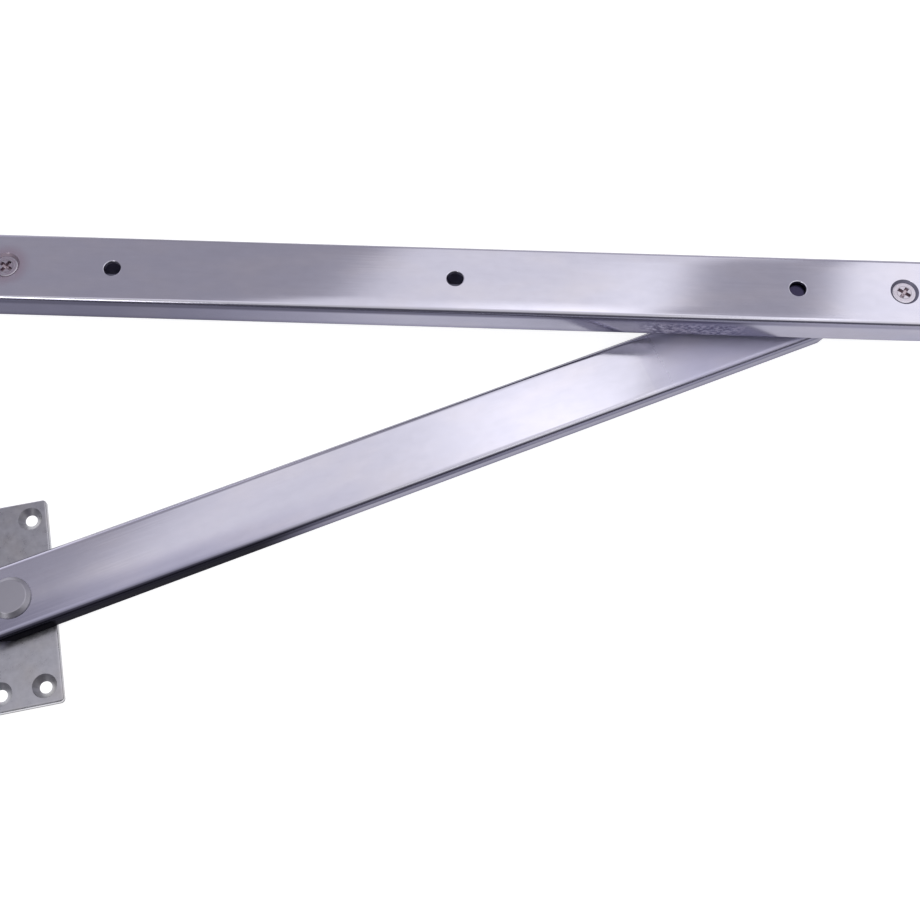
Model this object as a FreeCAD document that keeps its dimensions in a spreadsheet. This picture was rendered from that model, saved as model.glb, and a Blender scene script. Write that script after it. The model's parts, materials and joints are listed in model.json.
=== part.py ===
import FreeCAD, Part
import os
import re
import Sketcher

# Overhead door stay: a folded rail with a shoe that slides in it, an arm that turns on the shoe's stud,
# and a fixing plate that turns on the arm's other end. Millimetres and degrees.
# X runs along the rail and +Z points out of the rail's web. The origin is the middle fixing hole,
# on the web's outer face. The stay is modelled as it lies with the shoe at its right-hand stop.

SIZES = [
    ("rail_length", 380, "rail, end to end"),
    ("rail_width", 30, "rail, outside, across the web"),
    ("rail_depth", 14, "rail, outside, web to lips"),
    ("rail_sheet", 1.5, "sheet that the rail is folded from"),
    ("rail_bend", 0.5, "inner radius of the rail's bends"),
    ("slot_width", 10, "gap between the rail's lips"),
    ("hole_margin", 55, "rail's end to its outer fixing hole"),
    ("fixing_hole", 6.5, "diameter of the rail's fixing holes"),
    ("screw_margin", 13, "rail's end to its end screw"),
    ("screw_sink", 11.2, "countersink's diameter at the web's face"),
    ("screw_head", 9.2, "end screw's head diameter"),
    ("screw_rim", 0.3, "height of the head's straight rim"),
    ("screw_thread", 5, "end screw's thread diameter"),
    ("screw_length", 11.2, "end screw, overall"),
    ("seat_gap", 0.03, "clearance of the screw's cone in its seat"),
    ("recess_span", 4.9, "cross recess, across"),
    ("recess_slot", 1.2, "cross recess, width of each slot"),
    ("recess_depth", 2.2, "cross recess, depth"),
    ("recess_taper", 6, "draft of the cross recess"),
    ("recess_turn", 57, "how far the recess is turned from the rail's line"),
    ("block_length", 24, "stop block, along the rail"),
    ("block_side_gap", 0.2, "stop block to each rail wall"),
    ("block_lip_gap", 0.2, "stop block to the rail's lips"),
    ("block_bevel", 0.9, "bevel of the stop block's long edges"),
    ("screw_gap", 0.15, "radial clearance of the screw in the block"),
    ("nut_width", 8, "square nut, across flats"),
    ("nut_height", 2.7, "square nut, thickness"),
    ("nut_gap", 0.15, "clearance round the nut in its pocket"),
    ("nut_seat", 6.8, "block's top to the nut"),
    ("thread_gap", 0.05, "radial clearance of the screw in the nut"),
    ("buffer_head", 10, "rubber buffer, diameter"),
    ("buffer_thick", 4, "rubber buffer, thickness in front of the block"),
    ("stem_width", 5, "buffer stem, diameter"),
    ("stem_length", 6, "buffer stem, length"),
    ("stem_gap", 0.05, "radial clearance of the stem in the block"),
    ("stem_end_gap", 0.5, "room beyond the stem's end"),
    ("stop_gap", 0.1, "shoe to buffer when the shoe is at its stop"),
    ("shoe_length", 45, "shoe, along the rail"),
    ("shoe_gap", 0.25, "shoe to each rail wall"),
    ("shoe_lead", 3, "length of the shoe's lead-in at each corner"),
    ("shoe_lead_in", 1, "how far each lead-in steps inwards"),
    ("shoe_end_bevel", 0.8, "bevel of the shoe's end edges"),
    ("waist_length", 19, "relieved middle of the shoe's sides"),
    ("waist_depth", 0.8, "depth of that relief"),
    ("core_length", 8, "core pocket in the shoe's top, along the rail"),
    ("core_width", 18, "core pocket, across"),
    ("core_depth", 7.5, "core pocket, depth"),
    ("core_corner", 1.5, "core pocket, corner bevel"),
    ("core_reach", 14.5, "shoe's middle to a core pocket's middle"),
    ("stud_head", 15, "stud's head, diameter"),
    ("stud_flats", 12, "stud's head, across its two flats"),
    ("stud_thick", 3, "stud's head, thickness"),
    ("stud_sink", 0.3, "stud's head below the shoe's top"),
    ("head_gap", 0.1, "clearance round the stud's head in the shoe"),
    ("neck_width", 9, "stud's neck, which passes the slot"),
    ("neck_gap", 0.05, "radial clearance of the neck in the shoe"),
    ("pivot_width", 8, "shoulder that the arm turns on, at both pivots"),
    ("tail_width", 6, "tail beyond that shoulder, at both pivots"),
    ("running_gap", 0.05, "radial running clearance at both pivots"),
    ("pivot_play", 0.1, "axial play of the arm at both pivots"),
    ("lip_gap", 0.2, "slider washer to the rail's lips"),
    ("slider_washer_width", 18, "slider washer, diameter"),
    ("slider_washer_thick", 2.2, "slider washer, thickness"),
    ("stud_washer_width", 16, "washer under the stud's tail, diameter"),
    ("stud_washer_thick", 1.5, "washer under the stud's tail, thickness"),
    ("peen_width", 10, "peened tail, diameter"),
    ("peen_height", 1.6, "peened tail, height"),
    ("peen_bevel", 1.1, "bevel of the peened tail"),
    ("arm_reach", 325, "arm, pivot to pivot"),
    ("arm_width", 27.5, "arm, outside, across the web"),
    ("arm_depth", 7, "arm, outside, web to flange edges"),
    ("arm_sheet", 2, "sheet that the arm is folded from"),
    ("arm_bend", 0.5, "inner radius of the arm's bends"),
    ("arm_end", 14, "arm's web beyond each pivot"),
    ("arm_corner", 6, "radius of the web's end corners"),
    ("flange_end", 4, "flange edge beyond each pivot, where the sloped cut starts"),
    ("arm_angle", 23.8, "arm to rail, as it lies"),
    ("plate_length", 80, "fixing plate, length"),
    ("plate_width", 29, "fixing plate, width"),
    ("plate_thick", 2.5, "fixing plate, thickness"),
    ("plate_corner", 0.9, "fixing plate, corner bevel"),
    ("plate_bevel", 0.7, "bevel of the plate's upper rim"),
    ("plate_gap", 0.4, "arm's flange edges to the plate"),
    ("plate_angle", 13.3, "plate to rail, as it lies"),
    ("plate_hole", 4.5, "plate's screw holes, diameter"),
    ("plate_sink", 9, "plate's countersinks, diameter"),
    ("plate_rows", 66, "plate's screw holes, centre to centre, long way"),
    ("plate_columns", 16, "plate's screw holes, centre to centre, short way"),
    ("rivet_head", 16, "rivet's head, diameter"),
    ("rivet_flat", 12.6, "flat top of the rivet's head, diameter"),
    ("rivet_height", 1.8, "rivet's head, height"),
    ("flare_depth", 1.2, "depth of the flared tail in the plate's back"),
    ("flare_recess", 0.02, "flared tail below the plate's back"),
    ("tail_gap", 0.05, "radial clearance of a tail in its hole"),
    ("plate_washer_width", 16, "plate washer, diameter"),
    ("plate_washer_thick", 1, "plate washer, thickness"),
    ("bush_width", 14, "spacer sleeve, outer diameter"),
    ("cut_over", 1, "how far a cutting shape runs past the face it cuts"),
]

doc = FreeCAD.newDocument("door_stay")
sheet = doc.addObject("Spreadsheet::Sheet", "Sizes")
for row, (alias, size, note) in enumerate(SIZES, 1):
    sheet.set(f"A{row}", note)
    sheet.set(f"B{row}", str(size))
    sheet.setAlias(f"B{row}", alias)
doc.recompute()
ALIASES = {alias for alias, _, _ in SIZES}


def bound(text):
    """The expression with each size's name pointing at its cell in the sheet."""
    return re.sub(r"[a-z][a-z_]+", lambda m: f"Sizes.{m[0]}" if m[0] in ALIASES else m[0], text)


def value(text):
    """What an expression comes to, as a plain number."""
    return float(sheet.evalExpression(bound(text)))


# Levels below the web's outer face, from the rail down to the plate.
CAVITY_HALF = "(rail_width / 2 - rail_sheet)"
CAVITY_TOP = "(-rail_sheet)"
CAVITY_FLOOR = "(rail_sheet - rail_depth)"
WASHER_TOP = "(-rail_depth - lip_gap)"
WASHER_FLOOR = f"({WASHER_TOP} - slider_washer_thick)"
ARM_TOP = f"({WASHER_FLOOR} - pivot_play)"
ARM_INSIDE = f"({ARM_TOP} - arm_sheet)"
SHOULDER = f"({ARM_INSIDE} - pivot_play)"
TAIL_TOP = f"({SHOULDER} - stud_washer_thick)"
PLATE_TOP = f"({ARM_TOP} - arm_depth - plate_gap)"
BUSH_TOP = f"({SHOULDER} - plate_washer_thick)"
BLOCK_HEIGHT = "(rail_depth - 2 * rail_sheet - block_lip_gap)"
SCREW_TOP = "((screw_head - screw_sink) / 2 + screw_rim + seat_gap)"
SINK_BORE = "(screw_sink - 2 * rail_sheet)"
PIVOT_BORE = "(pivot_width + 2 * running_gap)"
TAIL_BORE = "(tail_width + 2 * tail_gap)"
SHOE_HALF = f"({CAVITY_HALF} - shoe_gap)"
SHOE_TOP = f"({CAVITY_TOP} - shoe_gap)"
SHOE_HEIGHT = "(rail_depth - 2 * rail_sheet - 2 * shoe_gap)"
SCREW_X = "(rail_length / 2 - screw_margin)"
SHOE_X = f"({SCREW_X} - block_length / 2 - buffer_thick - stop_gap - shoe_length / 2)"
PIVOT_X = f"({SHOE_X} - arm_reach * cos(arm_angle))"
PIVOT_Y = "(-arm_reach * sin(arm_angle))"


def new_body(label, x="0", y="0", turn="0"):
    """A sub-part of its own, standing at x, y and turned about the upright axis."""
    body = doc.addObject("PartDesign::Body", label)
    body.Label = label
    body.setExpression("Placement.Base.x", bound(x))
    body.setExpression("Placement.Base.y", bound(y))
    body.setExpression("Placement.Rotation.Angle", bound(turn))
    return body


def origin_part(body, role):
    """One of the body's own origin planes or axes, found by its role."""
    return next(part for part in body.Origin.OriginFeatures if part.Role == role)


def new_sketch(body, name, plane, height="0", turn="0"):
    """An empty sketch on one of the body's origin planes, lifted by height along its normal."""
    sketch = body.newObject("Sketcher::SketchObject", name)
    sketch.AttachmentSupport = [(origin_part(body, plane), "")]
    sketch.MapMode = "FlatFace"
    sketch.setExpression("AttachmentOffset.Base.z", bound(height))
    sketch.setExpression("AttachmentOffset.Rotation.Angle", bound(turn))
    return sketch


def pin(sketch, piece, spot, kind, text):
    """Ties one coordinate of a sketch point to an expression."""
    if text == "0":
        axis = -2 if kind == "DistanceX" else -1
        sketch.addConstraint(Sketcher.Constraint("PointOnObject", piece, spot, axis))
        return
    rule = sketch.addConstraint(Sketcher.Constraint(kind, -1, 1, piece, spot, value(text)))
    sketch.setExpression(f"Constraints[{rule}]", bound(text))


def outline(sketch, corners, arcs=None):
    """A closed outline through corners. arcs maps a side's number to the centre that it bends round."""
    arcs = arcs or {}
    first = sketch.GeometryCount
    spots = [FreeCAD.Vector(value(x), value(y), 0) for x, y in corners]
    count = len(spots)
    ends = []
    for side in range(count):
        start = spots[side]
        end = spots[(side + 1) % count]
        if side in arcs:
            centre = FreeCAD.Vector(value(arcs[side][0]), value(arcs[side][1]), 0)
            out = (start - centre + end - centre).normalize()
            middle = centre + out * (start - centre).Length
            sketch.addGeometry(Part.Arc(start, middle, end))
            forwards = (start - centre).cross(end - centre).z > 0
            ends.append((1, 2) if forwards else (2, 1))
        else:
            sketch.addGeometry(Part.LineSegment(start, end))
            ends.append((1, 2))
    for side, (x, y) in enumerate(corners):
        before = (side - 1) % count
        here = (first + side, ends[side][0])
        sketch.addConstraint(Sketcher.Constraint("Coincident", first + before, ends[before][1], *here))
        pin(sketch, *here, "DistanceX", x)
        pin(sketch, *here, "DistanceY", y)
    for side, (x, y) in arcs.items():
        chord = spots[(side + 1) % count] - spots[side]
        flat = abs(chord.x) > abs(chord.y)
        pin(sketch, first + side, 3, "DistanceY" if flat else "DistanceX", y if flat else x)


def rectangle(sketch, left, low, right, high):
    """A rectangle from its four edges."""
    outline(sketch, [(left, low), (right, low), (right, high), (left, high)])


def circle(sketch, x, y, width):
    """A circle of diameter width about x, y."""
    centre = FreeCAD.Vector(value(x), value(y), 0)
    ring = sketch.addGeometry(Part.Circle(centre, FreeCAD.Vector(0, 0, 1), value(width) / 2))
    pin(sketch, ring, 3, "DistanceX", x)
    pin(sketch, ring, 3, "DistanceY", y)
    rule = sketch.addConstraint(Sketcher.Constraint("Diameter", ring, value(width)))
    sketch.setExpression(f"Constraints[{rule}]", bound(width))


def flatted_disc(sketch, width, flats):
    """A round of diameter width with two flats, flats apart."""
    half = f"(sqrt({width} ^ 2 - {flats} ^ 2) / 2)"
    corners = [(f"-{half}", f"-{flats} / 2"), (half, f"-{flats} / 2"),
               (half, f"{flats} / 2"), (f"-{half}", f"{flats} / 2")]
    outline(sketch, corners, {1: ("0", "0"), 3: ("0", "0")})


def sweep(body, kind, name, sketch, length, both_ways=False, upwards=False):
    """A Pad or Pocket of the sketch. A pad goes down unless upwards, and a pocket always cuts down."""
    feature = body.newObject(f"PartDesign::{kind}", name)
    feature.Profile = sketch
    feature.SideType = "Symmetric" if both_ways else "One side"
    feature.Type = "Length"
    feature.setExpression("Length", bound(length))
    feature.Reversed = kind == "Pad" and not (both_ways or upwards)
    doc.recompute()
    return feature


def turned(body, name, sketch, axis):
    """The sketch's profile turned a full circle about one of the body's axes."""
    feature = body.newObject("PartDesign::Revolution", name)
    feature.Profile = sketch
    feature.ReferenceAxis = (origin_part(body, axis), [""])
    feature.Angle = 360
    doc.recompute()
    return feature


def dressed(body, kind, name, size, wanted):
    """A Fillet or Chamfer of the edges of the body so far that wanted picks out."""
    base = body.Tip
    picked = [f"Edge{k}" for k, edge in enumerate(base.Shape.Edges, 1) if wanted(edge)]
    if not picked:
        raise ValueError(f"{body.Label}: {name} finds no edge")
    feature = body.newObject(f"PartDesign::{kind}", name)
    feature.Base = (base, picked)
    feature.setExpression("Radius" if kind == "Fillet" else "Size", bound(size))
    doc.recompute()
    return feature


def sunk_holes(body, name, sketch, width, sink, depth):
    """Countersunk holes, 90 degrees, at each circle of the sketch."""
    feature = body.newObject("PartDesign::Hole", name)
    feature.Profile = sketch
    doc.recompute()
    feature.ThreadType = "None"
    feature.HoleCutType = "Countersink"
    feature.HoleCutCustomValues = True
    feature.DepthType = "Dimension"
    feature.DrillPoint = "Flat"
    feature.HoleCutCountersinkAngle = 90
    feature.setExpression("Diameter", bound(width))
    feature.setExpression("HoleCutDiameter", bound(sink))
    feature.setExpression("Depth", bound(depth))
    doc.recompute()
    return feature


def spot_of(edge):
    """The middle of an edge's box."""
    return edge.BoundBox.Center


def near(number, text):
    """Whether a measured number is the expression's value."""
    return abs(number - value(text)) < 0.001


def runs_along(edge, axis):
    """Whether an edge is a straight line along X, Y or Z."""
    if edge.Curve.TypeId != "Part::GeomLine":
        return False
    way = edge.tangentAt(edge.FirstParameter)
    return abs(getattr(way, axis)) > 0.999


def rim_at(edge, width, level):
    """Whether an edge is a circle of diameter width at that level."""
    if edge.Curve.TypeId != "Part::GeomCircle":
        return False
    return near(2 * edge.Curve.Radius, width) and near(spot_of(edge).z, level)


def make_rail():
    """The rail: a C section folded from one strip, with its lips turned in round the slot."""
    body = new_body("rail")
    section = new_sketch(body, "rail_section", "YZ_Plane")
    rectangle(section, "-rail_width / 2", "-rail_depth", "rail_width / 2", "0")
    sweep(body, "Pad", "rail_blank", section, "rail_length", both_ways=True)
    dressed(body, "Fillet", "outer_bends", "rail_bend + rail_sheet", lambda e: runs_along(e, "x"))

    hollow = new_sketch(body, "rail_hollow", "YZ_Plane")
    rectangle(hollow, f"-{CAVITY_HALF}", CAVITY_FLOOR, CAVITY_HALF, CAVITY_TOP)
    sweep(body, "Pocket", "rail_inside", hollow, "rail_length", both_ways=True)
    inside = lambda e: runs_along(e, "x") and near(abs(spot_of(e).y), CAVITY_HALF) and (
        near(spot_of(e).z, CAVITY_TOP) or near(spot_of(e).z, CAVITY_FLOOR))
    dressed(body, "Fillet", "inner_bends", "rail_bend", inside)

    gap = new_sketch(body, "slot_section", "YZ_Plane")
    half_slot = "slot_width / 2"
    rectangle(gap, f"-{half_slot}", "-rail_depth - cut_over", half_slot, f"{CAVITY_FLOOR} + cut_over")
    sweep(body, "Pocket", "slot", gap, "rail_length", both_ways=True)

    hole = new_sketch(body, "first_hole", "XY_Plane")
    circle(hole, "hole_margin - rail_length / 2", "0", "fixing_hole")
    first = sweep(body, "Pocket", "fixing_hole", hole, "rail_depth / 2")
    row = body.newObject("PartDesign::LinearPattern", "fixing_holes")
    row.Originals = [first]
    row.Direction = (origin_part(body, "X_Axis"), [""])
    row.setExpression("Length", bound("rail_length - 2 * hole_margin"))
    row.Occurrences = 3
    body.Tip = row
    doc.recompute()

    sinks = new_sketch(body, "screw_places", "XY_Plane")
    for x in (f"-{SCREW_X}", SCREW_X):
        circle(sinks, x, "0", SINK_BORE)
    sunk_holes(body, "screw_sinks", sinks, SINK_BORE, "screw_sink", "rail_depth / 2")
    return body


def make_stop_screw(label, x, turn):
    """An end screw: flat countersunk head with a cross recess, set just below the web's face."""
    body = new_body(label, x, turn=turn)
    half = new_sketch(body, "screw_half", "XZ_Plane")
    head = "screw_head / 2"
    shank = "screw_thread / 2"
    cone_top = f"({SCREW_TOP} - screw_rim)"
    tip = f"({SCREW_TOP} - screw_length)"
    outline(half, [
        ("0", SCREW_TOP), (head, SCREW_TOP), (head, cone_top), (shank, f"{cone_top} - {head} + {shank}"),
        (shank, tip), ("0", tip)])
    turned(body, "screw_turned", half, "Z_Axis")

    cross = new_sketch(body, "recess_cross", "XY_Plane", SCREW_TOP, "recess_turn")
    far = "recess_span / 2"
    near_in = "recess_slot / 2"
    corners = [(far, near_in), (near_in, near_in), (near_in, far)]
    ring = []
    for quarter in range(4):
        ring += corners
        corners = [(py[1:] if py[0] == "-" else f"-{py}", px) for px, py in corners]
    outline(cross, ring)
    recess = sweep(body, "Pocket", "cross_recess", cross, "recess_depth")
    recess.setExpression("TaperAngle", bound("-recess_taper"))
    doc.recompute()
    return body


def make_stop_nut(label, x, turn):
    """A square nut, captive in the stop block's pocket."""
    body = new_body(label, x, turn=turn)
    plan = new_sketch(body, "nut_plan", "XY_Plane", f"{CAVITY_TOP} - nut_seat")
    rectangle(plan, "-nut_width / 2", "-nut_width / 2", "nut_width / 2", "nut_width / 2")
    circle(plan, "0", "0", "screw_thread + 2 * thread_gap")
    sweep(body, "Pad", "nut_blank", plan, "nut_height")
    return body


def make_stop_block(label, x, turn):
    """A stop block: clamped to the web by its screw, with a nut pocket below and a hole for the buffer."""
    body = new_body(label, x, turn=turn)
    half_width = f"({CAVITY_HALF} - block_side_gap)"
    plan = new_sketch(body, "block_plan", "XY_Plane", CAVITY_TOP)
    rectangle(plan, "-block_length / 2", f"-{half_width}", "block_length / 2", half_width)
    sweep(body, "Pad", "block_blank", plan, BLOCK_HEIGHT)
    long_edges = lambda e: runs_along(e, "x") and near(abs(spot_of(e).y), half_width)
    dressed(body, "Chamfer", "block_bevels", "block_bevel", long_edges)

    place = new_sketch(body, "screw_place", "XY_Plane", CAVITY_TOP)
    bore = "screw_thread + 2 * screw_gap"
    circle(place, "0", "0", bore)
    sunk_holes(body, "screw_hole", place, bore, SINK_BORE, f"{BLOCK_HEIGHT} + cut_over")

    pocket_half = "(nut_width / 2 + nut_gap)"
    pocket = new_sketch(body, "nut_place", "XY_Plane", f"{CAVITY_TOP} - nut_seat")
    rectangle(pocket, f"-{pocket_half}", f"-{pocket_half}", pocket_half, pocket_half)
    sweep(body, "Pocket", "nut_pocket", pocket, BLOCK_HEIGHT)

    stem = new_sketch(body, "stem_place", "YZ_Plane", "-block_length / 2 + stem_length + stem_end_gap")
    circle(stem, "0", f"{CAVITY_TOP} - {BLOCK_HEIGHT} / 2", "stem_width + 2 * stem_gap")
    sweep(body, "Pocket", "stem_hole", stem, "stem_length + stem_end_gap + cut_over")
    return body


def make_buffer(label, x, turn):
    """A rubber buffer: a round pad with a stem that is pressed into the stop block."""
    body = new_body(label, x, turn=turn)
    body.setExpression("Placement.Base.z", bound(f"{CAVITY_TOP} - {BLOCK_HEIGHT} / 2"))
    half = new_sketch(body, "buffer_half", "XZ_Plane")
    back = "(-block_length / 2)"
    front = f"({back} - buffer_thick)"
    outline(half, [
        (front, "0"), (front, "buffer_head / 2"), (back, "buffer_head / 2"), (back, "stem_width / 2"),
        (f"{back} + stem_length", "stem_width / 2"), (f"{back} + stem_length", "0")])
    turned(body, "buffer_turned", half, "X_Axis")
    return body


def make_shoe():
    """The shoe: moulded, with lead-ins, relieved sides, two core pockets and a seat for the stud's head."""
    body = new_body("slider_shoe", SHOE_X)
    end = "(shoe_length / 2)"
    waist = "(waist_length / 2)"
    quarter = [
        (end, f"({SHOE_HALF} - shoe_lead_in)"), (f"({end} - shoe_lead)", SHOE_HALF),
        (f"({waist} + waist_depth)", SHOE_HALF), (waist, f"({SHOE_HALF} - waist_depth)")]
    upper = quarter + [(f"-{x}", y) for x, y in reversed(quarter)]
    lower = [(x, f"-{y}") for x, y in reversed(upper)]
    plan = new_sketch(body, "shoe_plan", "XY_Plane", SHOE_TOP)
    outline(plan, upper + lower)
    sweep(body, "Pad", "shoe_blank", plan, SHOE_HEIGHT)
    end_edges = lambda e: runs_along(e, "y") and near(abs(spot_of(e).x), end)
    dressed(body, "Chamfer", "shoe_ends", "shoe_end_bevel", end_edges)

    seat = new_sketch(body, "head_seat", "XY_Plane", SHOE_TOP)
    flatted_disc(seat, "(stud_head + 2 * head_gap)", "(stud_flats + 2 * head_gap)")
    sweep(body, "Pocket", "head_pocket", seat, "stud_sink + stud_thick")
    bore = new_sketch(body, "neck_place", "XY_Plane", SHOE_TOP)
    circle(bore, "0", "0", "neck_width + 2 * neck_gap")
    sweep(body, "Pocket", "neck_hole", bore, f"{SHOE_HEIGHT} + cut_over")

    cores = new_sketch(body, "core_plan", "XY_Plane", SHOE_TOP)
    reach = "core_length / 2"
    side = "core_width / 2"
    for middle in ("-core_reach", "core_reach"):
        rectangle(cores, f"{middle} - {reach}", f"-{side}", f"{middle} + {reach}", side)
    sweep(body, "Pocket", "core_pockets", cores, "core_depth")
    corners = lambda e: runs_along(e, "z") and near(abs(spot_of(e).y), side)
    dressed(body, "Chamfer", "core_corners", "core_corner", corners)
    return body


def make_stud():
    """The stud: a flatted head, a neck through the slot, the arm's shoulder and a peened tail."""
    body = new_body("slider_stud", SHOE_X)
    top = f"({SHOE_TOP} - stud_sink)"
    under = f"({top} - stud_thick)"
    foot = f"({TAIL_TOP} - peen_height)"
    half = new_sketch(body, "stud_half", "XZ_Plane")
    outline(half, [
        ("0", under), ("neck_width / 2", under), ("neck_width / 2", WASHER_TOP),
        ("pivot_width / 2", WASHER_TOP), ("pivot_width / 2", SHOULDER), ("tail_width / 2", SHOULDER),
        ("tail_width / 2", TAIL_TOP), ("peen_width / 2", TAIL_TOP), ("peen_width / 2", foot), ("0", foot)])
    turned(body, "stud_turned", half, "Z_Axis")
    dressed(body, "Chamfer", "peened_rim", "peen_bevel", lambda e: rim_at(e, "peen_width", foot))
    head = new_sketch(body, "stud_head", "XY_Plane", under)
    flatted_disc(head, "stud_head", "stud_flats")
    sweep(body, "Pad", "flatted_head", head, "stud_thick", upwards=True)
    return body


def make_ring(label, place, top, thick, width, bore):
    """A washer or sleeve about an upright axis."""
    body = new_body(label, *place)
    plan = new_sketch(body, "ring_plan", "XY_Plane", top)
    circle(plan, "0", "0", width)
    circle(plan, "0", "0", bore)
    sweep(body, "Pad", "ring_blank", plan, thick)
    return body


def make_arm():
    """The arm: a U section folded from one strip, its flanges cut back on a slope short of each end."""
    body = new_body("arm", SHOE_X, turn="180 + arm_angle")
    body.setExpression("Placement.Base.z", bound(ARM_TOP))
    side = "arm_width / 2"
    tip = "(arm_reach + arm_end)"
    plan = new_sketch(body, "arm_plan", "XY_Plane")
    rectangle(plan, "-arm_end", f"-{side}", tip, side)
    sweep(body, "Pad", "arm_blank", plan, "arm_depth")
    outer = lambda e: runs_along(e, "x") and near(spot_of(e).z, "0")
    dressed(body, "Fillet", "arm_bends", "arm_bend + arm_sheet", outer)

    inner = "(arm_width / 2 - arm_sheet)"
    hollow = new_sketch(body, "arm_hollow", "XY_Plane", "-arm_sheet")
    rectangle(hollow, "-arm_end - cut_over", f"-{inner}", f"{tip} + cut_over", inner)
    sweep(body, "Pocket", "arm_inside", hollow, "arm_depth")
    roots = lambda e: runs_along(e, "x") and near(spot_of(e).z, "-arm_sheet") and (
        near(abs(spot_of(e).y), inner))
    dressed(body, "Fillet", "arm_roots", "arm_bend", roots)

    slope = "(flange_end + arm_depth - arm_sheet)"
    low = "-arm_depth - cut_over"
    notch = new_sketch(body, "flange_ends", "XZ_Plane")
    for pivot, out in (("0", "-"), ("arm_reach", "+")):
        past = f"{pivot} {out} (arm_end + cut_over)"
        edge = f"{pivot} {out} flange_end"
        outline(notch, [
            (past, "-arm_sheet"), (f"{pivot} {out} {slope}", "-arm_sheet"), (edge, "-arm_depth"),
            (edge, low), (past, low)])
    sweep(body, "Pocket", "flange_cuts", notch, "2 * arm_width", both_ways=True)

    trim = new_sketch(body, "web_corners", "XY_Plane")
    for end, out in (("-arm_end", "-"), (tip, "+")):
        back = "+" if out == "-" else "-"
        for up, down in (("", "-"), ("-", "+")):
            edge = f"{up}{side}"
            past = f"{edge} {'-' if up else '+'} cut_over"
            start = f"{edge} {down} arm_corner"
            centre = f"{end} {back} arm_corner"
            outline(trim, [
                (end, start), (f"{end} {out} cut_over", start), (f"{end} {out} cut_over", past),
                (centre, past), (centre, edge)], {4: (centre, start)})
    sweep(body, "Pocket", "web_corner_cuts", trim, "arm_depth")

    holes = new_sketch(body, "pivot_places", "XY_Plane")
    for x in ("0", "arm_reach"):
        circle(holes, x, "0", PIVOT_BORE)
    sweep(body, "Pocket", "pivot_holes", holes, "arm_depth")
    return body


def make_plate():
    """The fixing plate: countersunk screw holes, a softened rim and the rivet's hole, flared behind."""
    body = new_body("frame_plate", PIVOT_X, PIVOT_Y, "plate_angle")
    body.setExpression("Placement.Base.z", bound(PLATE_TOP))
    plan = new_sketch(body, "plate_plan", "XY_Plane")
    rectangle(plan, "-plate_width / 2", "-plate_length / 2", "plate_width / 2", "plate_length / 2")
    sweep(body, "Pad", "plate_blank", plan, "plate_thick")
    dressed(body, "Chamfer", "plate_corners", "plate_corner", lambda e: runs_along(e, "z"))
    dressed(body, "Chamfer", "plate_rim", "plate_bevel", lambda e: near(e.BoundBox.ZMin, "0"))

    places = new_sketch(body, "screw_places", "XY_Plane")
    for x in ("-plate_columns / 2", "plate_columns / 2"):
        for y in ("-plate_rows / 2", "plate_rows / 2"):
            circle(places, x, y, "plate_hole")
    sunk_holes(body, "plate_sinks", places, "plate_hole", "plate_sink", "plate_thick + cut_over")

    middle = new_sketch(body, "rivet_place", "XY_Plane")
    circle(middle, "0", "0", TAIL_BORE)
    sweep(body, "Pocket", "rivet_hole", middle, "plate_thick + cut_over")
    back_rim = lambda e: rim_at(e, TAIL_BORE, "-plate_thick")
    dressed(body, "Chamfer", "rivet_flare", "flare_depth", back_rim)
    return body


def make_rivet():
    """The plate's rivet: a low bevelled head, the arm's shoulder and a tail flared flush in the plate."""
    body = new_body("plate_rivet", PIVOT_X, PIVOT_Y, "plate_angle")
    base = f"({ARM_TOP} + pivot_play)"
    top = f"({base} + rivet_height)"
    foot = f"({PLATE_TOP} - plate_thick + flare_recess)"
    tail = "tail_width / 2"
    half = new_sketch(body, "rivet_half", "XZ_Plane")
    outline(half, [
        ("0", top), ("rivet_flat / 2", top), ("rivet_head / 2", base), ("pivot_width / 2", base),
        ("pivot_width / 2", PLATE_TOP), (tail, PLATE_TOP), (tail, f"{foot} + flare_depth"),
        (f"{tail} + flare_depth", foot), ("0", foot)])
    turned(body, "rivet_turned", half, "Z_Axis")
    return body


def make_all():
    """Every sub-part of the stay, in the order it goes together."""
    bodies = [make_rail()]
    for side, x, turn in (("left", f"-{SCREW_X}", "180"), ("right", SCREW_X, "0")):
        bodies.append(make_stop_block(f"{side}_stop_block", x, turn))
        bodies.append(make_stop_nut(f"{side}_stop_nut", x, turn))
        bodies.append(make_stop_screw(f"{side}_stop_screw", x, turn))
        bodies.append(make_buffer(f"{side}_buffer", x, turn))
    bodies += [make_shoe(), make_stud(), make_arm(), make_plate(), make_rivet()]
    stud = (SHOE_X, "0")
    rivet = (PIVOT_X, PIVOT_Y, "plate_angle")
    sleeve = f"({BUSH_TOP} - {PLATE_TOP})"
    rings = [
        ("slider_washer", stud, WASHER_TOP, "slider_washer_thick", "slider_washer_width", PIVOT_BORE),
        ("stud_washer", stud, SHOULDER, "stud_washer_thick", "stud_washer_width", TAIL_BORE),
        ("plate_washer", rivet, SHOULDER, "plate_washer_thick", "plate_washer_width", PIVOT_BORE),
        ("plate_bush", rivet, BUSH_TOP, sleeve, "bush_width", PIVOT_BORE)]
    for ring in rings:
        bodies.append(make_ring(*ring))
    return bodies


def write_all(bodies):
    """Checks every object and every shape, then writes one STEP file a sub-part."""
    doc.recompute()
    for part in doc.Objects:
        if {"Invalid", "Error"} & set(part.State):
            raise ValueError(f"{part.Label} is {part.State}")
    for body in bodies:
        if body.Shape.isNull() or not body.Shape.isValid() or len(body.Shape.Solids) != 1:
            raise ValueError(f"{body.Label} is not one valid solid")
    os.makedirs("parts", exist_ok=True)
    for body in bodies:
        body.Shape.exportStep(f"parts/{body.Label}.step")
        print(f"{body.Label}: {body.Shape.Volume / 1000:.3f} cm3")


write_all(make_all())
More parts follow.
